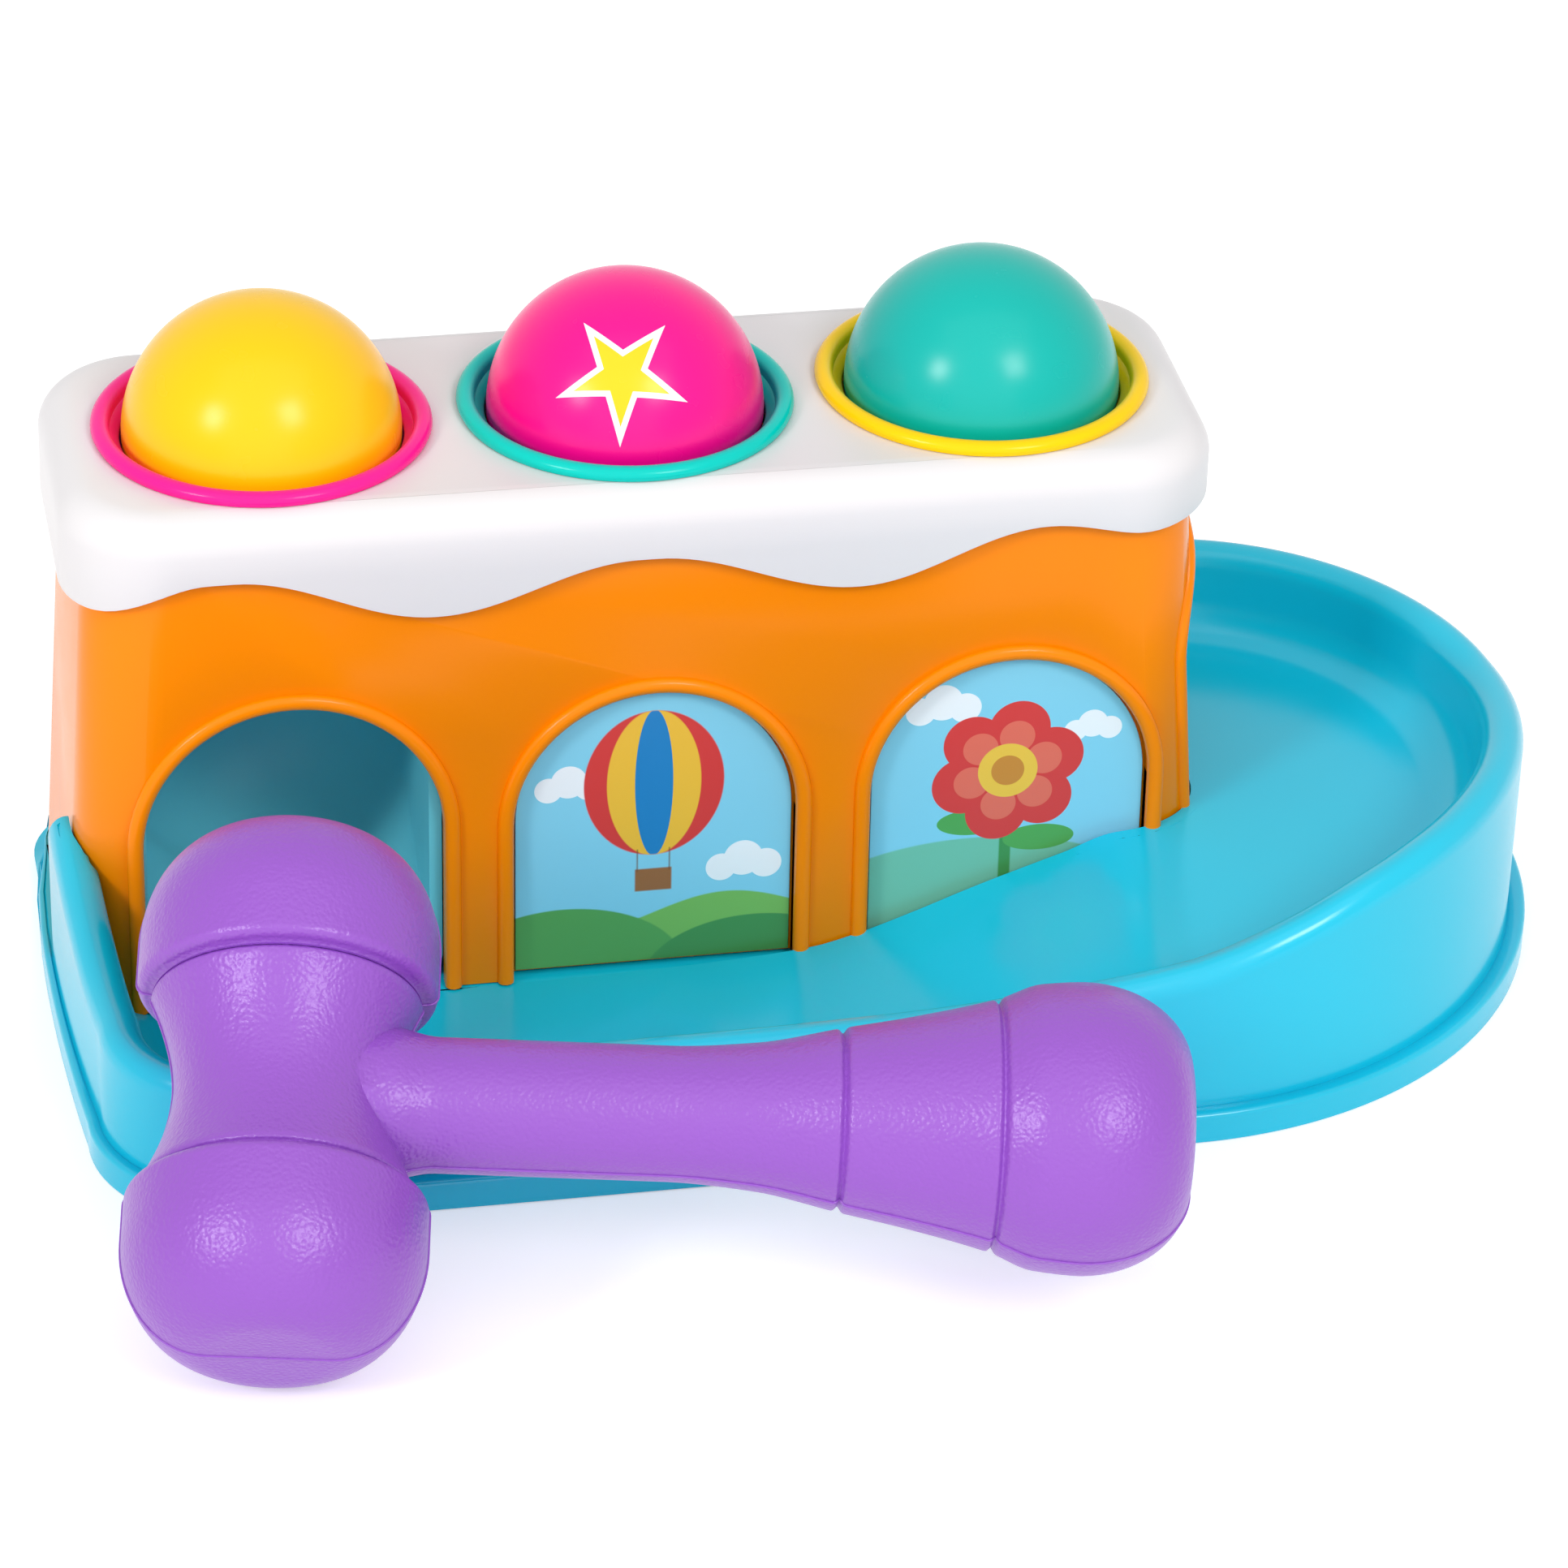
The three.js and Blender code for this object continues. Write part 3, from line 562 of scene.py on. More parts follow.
# Cap: the wave's lows and highs as part of the half length and drop below the top
WAVE = (
    (-1.08, 17.2), (-0.99, 18.2), (-0.76, 11.6), (-0.72, 11.6), (-0.375, 20.7), (-0.03, 12.45),
    (0, 12.45), (0.352, 20.75), (0.685, 11.6), (0.875, 14.4), (1.08, 13),
)
CAP_DEPTH = 30.0
CAP_HOLE = COLLAR_R - 1.2


def wave_drop(x):
    """Drop of the wavy edge below the cap's top, smooth between lows and highs."""
    part = x / CAP_X
    for (a, low), (b, high) in zip(WAVE, WAVE[1:]):
        if part <= b:
            t = (part - a) / (b - a)
            return low + (high - low) * (0.5 - 0.5 * math.cos(math.pi * t))
    return WAVE[-1][1]


def make_cap():
    """Rounded cover, hollowed, trimmed to the wave and bored for the collars."""
    low = CAP_TOP - CAP_DEPTH
    cap = rounded_block("cap", CAP_X, CAP_Y, CAP_CORNER, low, CAP_TOP, 14)
    edit(
        bpy.ops.mesh.bevel, above(CAP_TOP - 1), "EDGE",
        offset=CAP_FILLET * MM, segments=10, affect="EDGES",
    )
    steps = 120
    first = WAVE[0][0]
    edge = [CAP_X * first * (1 - 2 * i / steps) for i in range(steps + 1)]
    edge = [(x, CAP_TOP - wave_drop(x)) for x in edge]
    ends = [(-first * CAP_X, low - 10), (first * CAP_X, low - 10)]
    below = slab("below", [ends[0], *reversed(edge), ends[1]], -80, 80)
    inner_size = (CAP_X - CAP_WALL, CAP_Y - CAP_WALL, CAP_CORNER - CAP_WALL)
    inner = rounded_block("inner", *inner_size, low - 5, CAP_TOP - CAP_WALL)
    holes = []
    for x in (-PITCH, 0, PITCH):
        bpy.ops.mesh.primitive_cylinder_add(
            vertices=96, radius=CAP_HOLE * MM, depth=CAP_DEPTH * MM, location=(x * MM, 0, CAP_TOP * MM),
        )
        holes.append(bpy.context.object)
    cut(cap, inner, below, *holes)
    soften(cap, 0.6, 3)
    return clothe(cap, WHITE, "tower", "top_cap", slot="white")


# Collars and balls


def make_collar(x, side, finish, slot):
    """Ring with a rolled lip on the cap and a grip just clear of the ball."""
    foot = COLLAR_LOW.z
    bore = BALL_R + 2
    lip = (COLLAR_R - bore) / 2
    sleeve = COLLAR_R - 1.7
    seat = CAP_TOP + 0.1
    profile = [
        (bore, foot), (sleeve, foot), (sleeve, seat), (COLLAR_R - 0.3, seat),
        *arc(COLLAR_R - lip, seat + 0.7, lip, 1.5, 0, math.pi, 14),
        (bore - 0.1, BALL_Z + 0.6), (BALL_R + 0.5, BALL_Z - 0.4), (BALL_R + 0.3, BALL_Z - 0.9),
        (BALL_R + 0.3, BALL_Z - 1.6), (bore, BALL_Z - 4.5),
    ]
    collar = spun(f"collar_{side}_ring", profile, 128, place=Matrix.Translation((x * MM, 0, 0)))
    soften(collar, 0, angle=40)
    return clothe(collar, finish, "tower", f"collar_{side}", slot=slot)


def make_ball(x, side, finish, slot):
    """A sphere with its weld line pressed in round the middle."""
    weld_turn, weld_depth = 0.012, 0.08
    upper = arc(0, BALL_Z, BALL_R, BALL_R, QUARTER, weld_turn, 40)
    lower = arc(0, BALL_Z, BALL_R, BALL_R, -weld_turn, -QUARTER, 40)
    profile = [*upper, (BALL_R - weld_depth, BALL_Z), *lower]
    ball = spun(f"ball_{side}", profile, 128, closed=False, place=Matrix.Translation((x * MM, 0, 0)))
    soften(ball, 0, angle=60)
    return clothe(ball, finish, f"ball_{side}", f"ball_{side}_upper", f"ball_{side}_lower", slot=slot)


# Base tray: one section carried round a closed path, its rim and floor rising and falling
# Legs of the path are numbered from the right end of the back; lines give a value by leg and part of it
FRONT = BASE_LOW.y + LEDGE
RIGHT = BASE_HIGH.x - LEDGE
BACK = BASE_HIGH.y - LEDGE
LEFT = -TOWER_X - 2.4
END_X, END_Y, BACK_X = RIGHT - 74.2, FRONT + 74.4, RIGHT - 58.3
SIDE_X, CORNER_R = LEFT + 3.2, 24.0
RIM_LINE = (
    (0, RIM_LOW), (1, RIM_HIGH - 1), (1.2, RIM_HIGH - 0.2), (1.9, RIM_HIGH), (2.2, RIM_HIGH + 2.8),
    (2.4, RIM_HIGH + 3.8), (2.55, RIM_HIGH + 3.4), (2.69, RIM_HIGH + 1.6), (2.85, RIM_HIGH - 3.2),
    (2.97, RIM_HIGH - 7.4), (3.08, RIM_LOW + 4.3), (3.3, RIM_LOW + 0.8), (3.5, RIM_LOW),
    (4.5, RIM_LOW - 0.5), (5.1, RIM_LOW + 0.5), (5.5, RIM_LOW + 4), (6, RIM_LOW + 7.5),
)
# Part of the whole fall that the track has behind it, by distance along the tower in pitches
FALL = (
    (-0.5, 1), (-0.1, 0.985), (0.2, 0.95), (0.457, 0.884), (0.571, 0.804), (0.75, 0.625), (0.916, 0.44),
    (1.168, 0.182), (1.32, 0.03), (1.5, 0),
)
LEDGE_LINE = ((0, LEDGE), (3.6, LEDGE), (4.3, 2.8), (5, 2.2), (5.5, 1.7), (6, 1.5))
SIDE_LEDGE = ((-16, 1.5), (-8, 1.5), (4, 1.3), (16, 0.6), (24, 0.4))
DIP = ((0, 0), (1, 0.5), (2, 1), (2.6, 2), (3, 3), (3.2, 1.5), (3.5, 0), (6, 0))
RIM_START = PITCH + 9
SIDE_END = -16.0
SPINE, SPINE_R = PITCH + 9, 18.0
CROWN_PART, CROWN_OUT, CROWN_IN = 0.43, 4.0, 4.2
COVE, COVE_WIDE, COVE_HIGH = RIM_WIDTH + 9, 8.3, 7.5
PLINTH_EDGE = 0.8
FLOOR_STEPS = 16
RIB_TURNS = (-50, -15, 20)
RIB_REACH = (21, 72.4)
RIB_DIP = (15, 58)
RIB_HALF, RIB_FOOT = 1.0, 1.0


def floor_at(x, y):
    """Height of the track floor."""
    fall = 0 if y > 0 else eased(FALL, x / PITCH)
    return PLATFORM - (PLATFORM - DECK) * fall


def tray_path():
    """Stations round the tray: place, inward direction, and position along the rim.

    The position is None where there is only the ledge.
    """
    stations = []

    def leg(number, count, place):
        """Stations along one leg, whose place runs from 0 to 1."""
        for i in range(count + 1):
            t = i / count
            if i == 0 and number > 0:
                continue
            x, y = place(t)
            ahead, behind = place(t + 0.001), place(t - 0.001)
            along = Vector((ahead[0] - behind[0], ahead[1] - behind[1])).normalized()
            stations.append((x, y, along.y, -along.x, number + t))

    def ellipse(cx, cy, rx, ry, start, stop):
        """A leg round part of an ellipse."""

        def place(t):
            turn = start + (stop - start) * t
            return cx + rx * math.cos(turn), cy + ry * math.sin(turn)

        return place

    leg(0, 8, lambda t: (RIM_START + (BACK_X - RIM_START) * t, BACK))
    leg(1, 40, ellipse(BACK_X, END_Y, RIGHT - BACK_X, BACK - END_Y, QUARTER, 0))
    leg(2, 48, ellipse(END_X, END_Y, RIGHT - END_X, END_Y - FRONT, 0, -QUARTER))
    corner_x, corner_y = SIDE_X + CORNER_R, FRONT + CORNER_R
    leg(3, 60, lambda t: (END_X + (corner_x - END_X) * t, FRONT))
    leg(4, 24, ellipse(corner_x, corner_y, CORNER_R, CORNER_R, -QUARTER, -2 * QUARTER))
    bend = (corner_y + SIDE_END) / 2
    leg(5, 24, lambda t: (
        SIDE_X * (1 - t) ** 2 + 2 * (LEFT + 0.1) * t * (1 - t) + LEFT * t * t,
        corner_y * (1 - t) ** 2 + 2 * bend * t * (1 - t) + SIDE_END * t * t,
    ))
    back = TOWER_Y + 0.5
    middle_x, middle_y = -TOWER_X + TOWER_CORNER, back - TOWER_CORNER
    plain = [
        (LEFT, SIDE_END + 0.1), (LEFT + 0.1, -8), (LEFT + 0.6, 4), (LEFT + 2, 16),
        *arc(middle_x, middle_y, TOWER_CORNER, TOWER_CORNER, math.pi, QUARTER, 12),
        (0.76 * PITCH, back), (0.95 * PITCH, BACK - 3), (1.08 * PITCH, BACK), (RIM_START - 0.1, BACK),
    ]
    for i, (x, y) in enumerate(plain):
        ahead = plain[min(i + 1, len(plain) - 1)]
        behind = plain[max(i - 1, 0)]
        along = Vector((ahead[0] - behind[0], ahead[1] - behind[1])).normalized()
        stations.append((x, y, along.y, -along.x, None))
    return stations


def tray_section(x, y, nx, ny, at):
    """Points from the plinth's foot over the rim and floor to the tower."""
    spine = min(max(x, -SPINE), SPINE)
    end = Vector((x - spine, y)).normalized() * SPINE_R + Vector((spine, 0))
    foot = Vector((x + nx * COVE, y + ny * COVE))
    if at is None:
        ledge = LEDGE if x > 0 else eased(SIDE_LEDGE, y)
        dip = 0
        crown = [(0, PLINTH), (0.02, PLINTH)]
        crown += [(0.04 + 0.3 * i, PLINTH) for i in range(19)]
        crown += [(6 + i, PLINTH) for i in range(10)]
    else:
        ledge = eased(LEDGE_LINE, at)
        dip = eased(DIP, at)
        rim = eased(RIM_LINE, at)
        low = floor_at(*foot) - dip
        outer, inner = CROWN_PART * RIM_WIDTH, (1 - CROWN_PART) * RIM_WIDTH
        crown = [(0, PLINTH + 0.3), (0, rim - CROWN_OUT)]
        crown += arc(outer, rim - CROWN_OUT, outer, CROWN_OUT, math.pi, QUARTER, 9)[1:]
        crown += arc(outer, rim - CROWN_IN, inner, CROWN_IN, QUARTER, 0, 9)
        crown += arc(COVE, low + COVE_HIGH, COVE_WIDE, COVE_HIGH, math.pi, 3 * QUARTER, 9)
    edge = min(PLINTH_EDGE, ledge / 2)
    plinth = [(-ledge, 0), (-ledge, PLINTH - edge - 0.1)]
    plinth += arc(-ledge + edge, PLINTH - edge, edge, edge, math.pi, QUARTER, 4)
    plinth += [(-min(0.7, ledge / 3), PLINTH), (-min(0.25, ledge / 4), PLINTH - 0.35)]
    points = [Vector((x + nx * inward, y + ny * inward, z)) for inward, z in plinth + crown]
    for i in range(1, FLOOR_STEPS + 1):
        share = i / FLOOR_STEPS
        spot = foot.lerp(end, share)
        height = PLINTH if at is None else floor_at(*spot) - dip * (1 - share)
        points.append(Vector((*spot, height)))
    return stop_at_tower(points)


def stop_at_tower(points):
    """Points past the tower's wall are drawn back to it."""

    def inside(spot, height):
        """Is the spot within the tower's outline at a height."""
        half_x, half_y = tower_half(height)
        return outline_gap(spot.x, spot.y, half_x + GAP, half_y + GAP, TOWER_CORNER) < 0

    kept, held = [points[0]], None
    for before, point in zip(points, points[1:]):
        if held is not None:
            kept.append(Vector((held.x, held.y, min(held.z, point.z))))
        elif inside(point, point.z):
            near, far = 0.0, 1.0
            for _ in range(24):
                middle = (near + far) / 2
                if inside(before.lerp(point, middle), point.z):
                    far = middle
                else:
                    near = middle
            held = before.lerp(point, near)
            kept.append(held)
        else:
            kept.append(point)
    last = kept[-1]
    kept.append(Vector((last.x, last.y, DECK)))
    return kept


def make_rib(turn):
    """Stiffening plate under the platform, from the tower's seat out to the wall."""
    sag = eased(DIP, 2 - turn / 90)
    spin = Matrix.Rotation(math.radians(turn), 4, "Z")
    place = Matrix.Translation((END_X * MM, END_Y * MM, 0)) @ spin
    start, stop = RIB_REACH
    level, full = RIB_DIP
    outline = [(start, RIB_FOOT), (stop, RIB_FOOT)]
    for i in range(13):
        out = stop + (start - stop) * i / 12
        spot = place @ Vector((out * MM, 0, 0)) / MM
        share = min(max((out - level) / (full - level), 0), 1)
        outline.append((out, floor_at(spot.x, spot.y) - sag * share - TRAY_SKIN / 2))
    rib = slab("rib", outline, -RIB_HALF, RIB_HALF)
    rib.data.transform(place)
    soften(rib, 0)
    return rib


def make_tray():
    """Tray skin with the deck that the tower stands on and the ribs below."""
    rows = [tray_section(*station) for station in tray_path()]
    tray = skin("tray", rows, TRAY_SKIN, -1, closed=True)
    deck = rounded_block("deck", TOWER_X + 1, TOWER_Y + 1, TOWER_CORNER + 1, 0, DECK)
    soften(deck, 0.2)
    join(tray, deck, *[make_rib(turn) for turn in RIB_TURNS])
    return clothe(tray, TURQUOISE, "tower", "base_tray", slot="turquoise")


# Inner chute: drop box under the left collar, ramp under the other two
SCOOP_R = BALL_R + 1.6
SCOOP_TOP = BALL_Z - BALL_R - 3.4
SCOOP_BED, SCOOP_FALL = DECK + 4, 2.8
SCOOP_BACK_SWEEP, SCOOP_FRONT_SWEEP = 22.0, 4.0
RAMP_START = -PITCH + BALL_R + 2.6
RAMP_STOP = end_x(0, RAMP_END) - TOWER_WALL - GAP
RAMP_HALF, RAMP_WALL, RAMP_SIDE = BALL_R + 0.6, 2.2, 4.0
RAMP_RIBS = (-0.08, 0.6, 1.24)


def scoop_path():
    """Stations round the box, from front left round the back to front right: place and outward direction.

    A place in front of the middle has its depth as part of the way to the front wall.
    """
    path = [(-SCOOP_R, -1 + i / 10, -1, 0) for i in range(10)]
    for i in range(41):
        turn = math.pi * i / 40
        out, deep = -math.cos(turn), math.sin(turn)
        path.append((SCOOP_R * out, SCOOP_R * deep, out, deep))
    return path + [(SCOOP_R, -i / 10, 1, 0) for i in range(1, 11)]


def make_scoop():
    """Round-backed box: its wall runs into the sloping bed in one sweep."""

    def depth(y, z):
        """Depth in millimetres; in front of the middle it follows the drafted wall."""
        return y if y > 0 else y * (tower_half(z)[1] - TOWER_WALL - 0.5)

    rows = []
    for x, y, nx, ny in scoop_path():
        forward = min(y, 0)
        low = SCOOP_BED + SCOOP_FALL * forward
        sweep = SCOOP_BACK_SWEEP + (SCOOP_BACK_SWEEP - SCOOP_FRONT_SWEEP) * forward
        section = [(0, SCOOP_TOP), (0, (SCOOP_TOP + low + sweep) / 2)]
        section += arc(-sweep, low + sweep, sweep, sweep, 0, -QUARTER, 14)
        row = [(-PITCH + x + nx * out, depth(y, z) + ny * out, z) for out, z in section]
        rows.append([*row, (-PITCH, depth(forward, low), low)])
    return skin("chute", rows, TRAY_SKIN, 0)


def ramp_bed(x):
    """Height of the ramp, which falls to the exit."""
    return RAMP_END + RAMP_RISE * (RAMP_STOP - x) / (RAMP_STOP - RAMP_START)


def ramp_strip(raised, y0, y1):
    """One board along the ramp, standing a little above its bed."""
    ends = [(x, ramp_bed(x)) for x in (RAMP_START, RAMP_STOP)]
    outline = [(x, z - RAMP_WALL) for x, z in ends] + [(x, z + raised) for x, z in reversed(ends)]
    return soften(slab("strip", outline, y0, y1), 0.4, 2)


def make_chute():
    """Drop box and ramp in one moulding, with ribs down to the tower's seat."""
    chute = make_scoop()
    strips = [
        ramp_strip(0, -RAMP_HALF, RAMP_HALF),
        ramp_strip(RAMP_SIDE, -RAMP_HALF, -RAMP_HALF + RAMP_WALL),
        ramp_strip(RAMP_SIDE, RAMP_HALF - RAMP_WALL, RAMP_HALF),
    ]
    for part in RAMP_RIBS:
        left = part * PITCH
        right, top = left + RAMP_WALL, ramp_bed(left) - 1
        outline = [(left, TOWER_FOOT), (right, TOWER_FOOT), (right, top), (left, top)]
        strips.append(soften(slab("rib", outline, -RAMP_HALF + 1, RAMP_HALF - 1), 0.3, 1))
    join(chute, *strips)
    # The chute wears the greyed turquoise with painted sheen.
    return clothe(chute, PAINTED_SHEEN_SATIN, "tower", "ball_chute", slot="turquoise")


# Pictures


def make_picture(side, arch, finish):
    """Thin label on the recessed panel of an arch."""
    outline = arch_line(arch["x"], arch["half"] - 0.5, arch["apex"] - 0.5, TOWER_FOOT + 1)
    picture = slab(f"picture_{side}_label", outline, RECESS - 0.7, RECESS - 0.3)
    picture.data.transform(FRONT_WALL)
    soften(picture, 0.08, 1)
    return clothe(picture, finish, "tower", f"picture_{side}", slot=f"print_{side}")


# Hammer
HAMMER_R = 24.4
HAMMER_HALF = 45.1
NECK_R = 19.0
HANDLE_R = 11.0
HANDLE_LENGTH = 146.6
GRIP_R = 23.8
GRIP_GROOVES = (90, 115.1)
GROOVE_DEEP, GROOVE_WIDE = 0.9, 0.55
BULB, BULB_FLAT = 129, 10.5
DOME_FLAT, DOME_DEEP = 9.8, 18.7
LIP_Z, LIP_R = 19.6, 1.7
SHOULDER_Z, SHOULDER_R = 16.4, 0.7
WAIST_HALF = 16
WAIST_IN, WAIST_OUT, WAIST_BOW = 1.5, 3.0, 1.8
SEAM_R, SEAM_OUT = 0.22, 0.06
FLARE = (
    (16, 12.6), (NECK_R + 6, HANDLE_R), (62, HANDLE_R), (76, 12), (90, 14.9), (101, 17.1),
    (115.1, 20.6), (122, 23.2), (130, GRIP_R),
)
HANDLE_DIR = Vector((0.9857, -0.1647, -0.0344)).normalized()
HEAD_DIR = Vector((0.1596, 0.8504, 0.5013)).normalized()
HEAD_LEAN = NECK_R + 2.9
HEAD_SLIDE = -13.4
HEAD_X = -74.3


def hammer_place():
    """The hammer lies with its head on the front rim and the ground."""
    up = (HEAD_DIR - HANDLE_DIR * HEAD_DIR.dot(HANDLE_DIR)).normalized()
    across = up.cross(HANDLE_DIR)
    rise = math.asin(HEAD_DIR.z)
    y = FRONT + 1.2 - HEAD_LEAN * math.sin(rise) + HEAD_SLIDE * math.cos(rise)
    z = RIM_LOW - 0.6 + HEAD_LEAN * math.cos(rise) + HEAD_SLIDE * math.sin(rise)
    turn = Matrix((HANDLE_DIR, across, up)).transposed().to_4x4()
    return Matrix.Translation(Vector((HEAD_X, y, z)) * MM) @ turn


def head_profile():
    """Outline of the head: domed end, rolled lip, groove, shoulder and waist, then the same mirrored."""
    r, end = HAMMER_R, HAMMER_HALF
    dome = arc(DOME_FLAT, end - DOME_DEEP, r - DOME_FLAT, DOME_DEEP, QUARTER, 0, 24)
    lip = arc(r - LIP_R, LIP_Z, LIP_R, LIP_R, 0, -QUARTER, 8)
    groove = [(r - 2.6, 17.8), (r - 2.8, 17.5), (r - 2.5, 17.1)]
    shoulder = arc(r - 3.1, SHOULDER_Z, SHOULDER_R, SHOULDER_R, QUARTER, 0, 4)
    bow = WAIST_IN + WAIST_OUT
    heights = [WAIST_HALF - WAIST_HALF * i / 20 for i in range(1, 21)]
    waist = [(NECK_R - WAIST_IN + bow * (z / SHOULDER_Z) ** WAIST_BOW, z) for z in heights]
    side = [(0, end), *dome, *lip, *groove, *shoulder, *waist]
    return side + [(x, -z) for x, z in reversed(side[:-1])]


def grip_profile():
    """Handle flaring to a round-ended grip, with two grooves pressed in."""
    places = [NECK_R - 2 + i for i in range(int(BULB - NECK_R + 3))]
    places += [middle + 0.2 * i for middle in GRIP_GROOVES for i in range(-9, 10)]
    outline = [(0, 8), (HANDLE_R + 1.5, 8)]
    for x in sorted(places):
        press = sum(math.exp(-(((x - middle) / GROOVE_WIDE) ** 2)) for middle in GRIP_GROOVES)
        outline.append((eased(FLARE, x) - GROOVE_DEEP * press, x))
    end = arc(BULB_FLAT, BULB, GRIP_R - BULB_FLAT, HANDLE_LENGTH - BULB, 0, QUARTER, 22)
    return [*outline, *end[1:], (0, HANDLE_LENGTH)]


def make_hammer():
    """Head and handle in one, with a thin parting line round both."""
    head = spun("hammer", head_profile(), 128, closed=False)
    grip = spun("grip", grip_profile(), 96, closed=False, place=Matrix.Rotation(QUARTER, 4, "Y"))
    modify(head, "BOOLEAN", operation="UNION", solver="EXACT", object=grip)
    bpy.data.objects.remove(grip)
    left = [(-r - SEAM_OUT, 0, z) for r, z in head_profile()]
    right = [(r + SEAM_OUT, 0, z) for r, z in head_profile() if abs(z) > HANDLE_R]
    top = [spot for spot in right if spot[2] > 0]
    low = [spot for spot in right if spot[2] < 0]
    upper = [(x, 0, r + SEAM_OUT) for r, x in grip_profile() if x > NECK_R]
    lower = [(x, 0, -z) for x, _, z in reversed(upper)]
    seams = [soften(tube("seam", path, SEAM_R), 0) for path in (left, top, low, upper + lower)]
    soften(head, 0, angle=50)
    join(head, *seams)
    head.data.transform(hammer_place())
    return clothe(head, grained_purple(), "hammer", "hammer_upper", "hammer_lower", slot="purple")


def grained_purple():
    """Satin blow-moulded plastic with a leathery grain."""
    finish = Finish("purple grained plastic")
    colour = linear(144, 79, 190)
    flow = finish.noise(14.0, 3.0)
    spot = finish.node("ShaderNodeTexCoord", out="Object")
    cells = finish.node(
        "ShaderNodeTexVoronoi", {"feature": "SMOOTH_F1"}, Vector=spot, Scale=1500.0, out="Distance",
    )
    fine = finish.noise(1200.0, 3.0)
    finish.set(
        Base_Color=finish.blend(flow, shade(colour, 0.96), shade(colour, 1.04)),
        Roughness=0.27 + 0.12 * fine,
        IOR=1.48,
        Specular_IOR_Level=0.6,
    )
    finish.bump(cells + 0.6 * fine, 0.3, 0.0004)
    return finish


# Prints
PRINT_EDGE = 0.3


class Drawing:
    """Flat shapes painted over each other on a plane, in millimetres."""

    def __init__(self, finish, across, up, ground):
        self.finish = finish
        self.across = across
        self.up = up
        self.colour = ground

    def paint(self, mask, colour):
        """A colour over what is there, where the mask is one."""
        self.colour = self.finish.blend(mask, self.colour, colour)
        return self

    def oval(self, x, y, rx, ry, soft=0.02):
        """An upright oval."""
        dx, dy = (self.across - x) / rx, (self.up - y) / ry
        edge = (1 - (dx * dx + dy * dy).sqrt()) / soft
        return edge.most(0.0).least(1.0)

    def band(self, x0, x1):
        """Everything between two upright lines."""
        inside = ((self.across - x0) / PRINT_EDGE).least((x1 - self.across) / PRINT_EDGE)
        return inside.most(0.0).least(1.0)

    def box(self, x0, x1, low, high):
        """An upright rectangle."""
        return self.band(x0, x1) * self.under(high) * (1 - self.under(low))

    def star(self, x, y, radius):
        """Five points: a spot is in the star when it is inside at least four of the five lines."""
        inside = 0.0
        for i in range(5):
            turn = math.tau * i / 5 - QUARTER
            reach = (self.across - x) * math.cos(turn) + (self.up - y) * math.sin(turn)
            inside = inside + (reach < radius * math.cos(math.tau / 5))
        return inside > 3.5

    def under(self, height):
        """Everything below a height."""
        return ((height - self.up) / PRINT_EDGE).most(0.0).least(1.0)


def printed(name, x, paint):
    """A glossy printed label centred on x."""
    finish = Finish(name)
    across, _, up = finish.axes(finish.place((x * MM, 0, 0)))
    across, up = across / MM, up / MM
    art = Drawing(finish, across, up, linear(140, 214, 238))
    paint(art)
    grain = finish.noise(260.0, 2.0)
    finish.set(Base_Color=art.colour, Roughness=0.3 + 0.08 * grain, IOR=1.5)
    finish.bump(grain, 0.03, 0.0002)
    return finish


def cloud(art, x, y, size):
    """Three white puffs."""
    white = linear(248, 250, 252)
    for dx, dy, r in ((-0.9, 0, 0.62), (0, 0.35, 0.8), (0.9, 0.05, 0.66)):
        art.paint(art.oval(x + dx * size, y + dy * size, r * size, r * size), white)


def balloon_scene(art):
    """Striped balloon over green hills."""
    cloud(art, -15, 40, 4.0)
    cloud(art, 16, 22, 4.4)
    wave = art.across.maths("SINE", art.across * 0.12)
    art.paint(art.under(14 + 3.2 * wave), linear(126, 190, 92))
    art.paint(art.oval(-16, 2, 22, 14), linear(92, 166, 84))
    art.paint(art.oval(18, 0, 20, 12), linear(74, 148, 78))
    body = art.oval(0, 40, 12.5, 14.5)
    art.paint(body, linear(222, 62, 58))
    art.paint(body * art.oval(0, 40, 8.4, 14.6), linear(248, 194, 60))
    art.paint(body * art.oval(0, 40, 3.4, 14.7), linear(40, 132, 196))
    art.paint(art.box(-3.4, 3.4, 18.5, 23.0), linear(160, 104, 58))
    for x in (-3.1, 2.6):
        art.paint(art.box(x, x + 0.5, 22.5, 27.0), linear(120, 80, 50))


def flower_scene(art):
    """A red flower under a cloudy sky."""
    cloud(art, -12, 50, 4.4)
    cloud(art, 15, 44, 3.4)
    art.paint(art.oval(-6, 8, 34, 16), linear(120, 196, 170))
    art.paint(art.band(-1.2, 1.2) * art.under(34.0), linear(70, 150, 80))
    for x, y in ((6, 23), (-6, 27)):
        art.paint(art.oval(x, y, 6.5, 2.6), linear(88, 170, 84))
    middle = 37
    for out, r, colour in ((8.4, 5.6, linear(226, 62, 58)), (6.8, 3.2, linear(240, 112, 90))):
        for i in range(6):
            turn = i * math.tau / 6 + 0.3
            art.paint(art.oval(out * math.cos(turn), middle + out * math.sin(turn), r, r), colour)
    art.paint(art.oval(0, middle, 5.4, 5.4), linear(250, 200, 70))
    art.paint(art.oval(0, middle, 3.0, 3.0), linear(214, 140, 50))


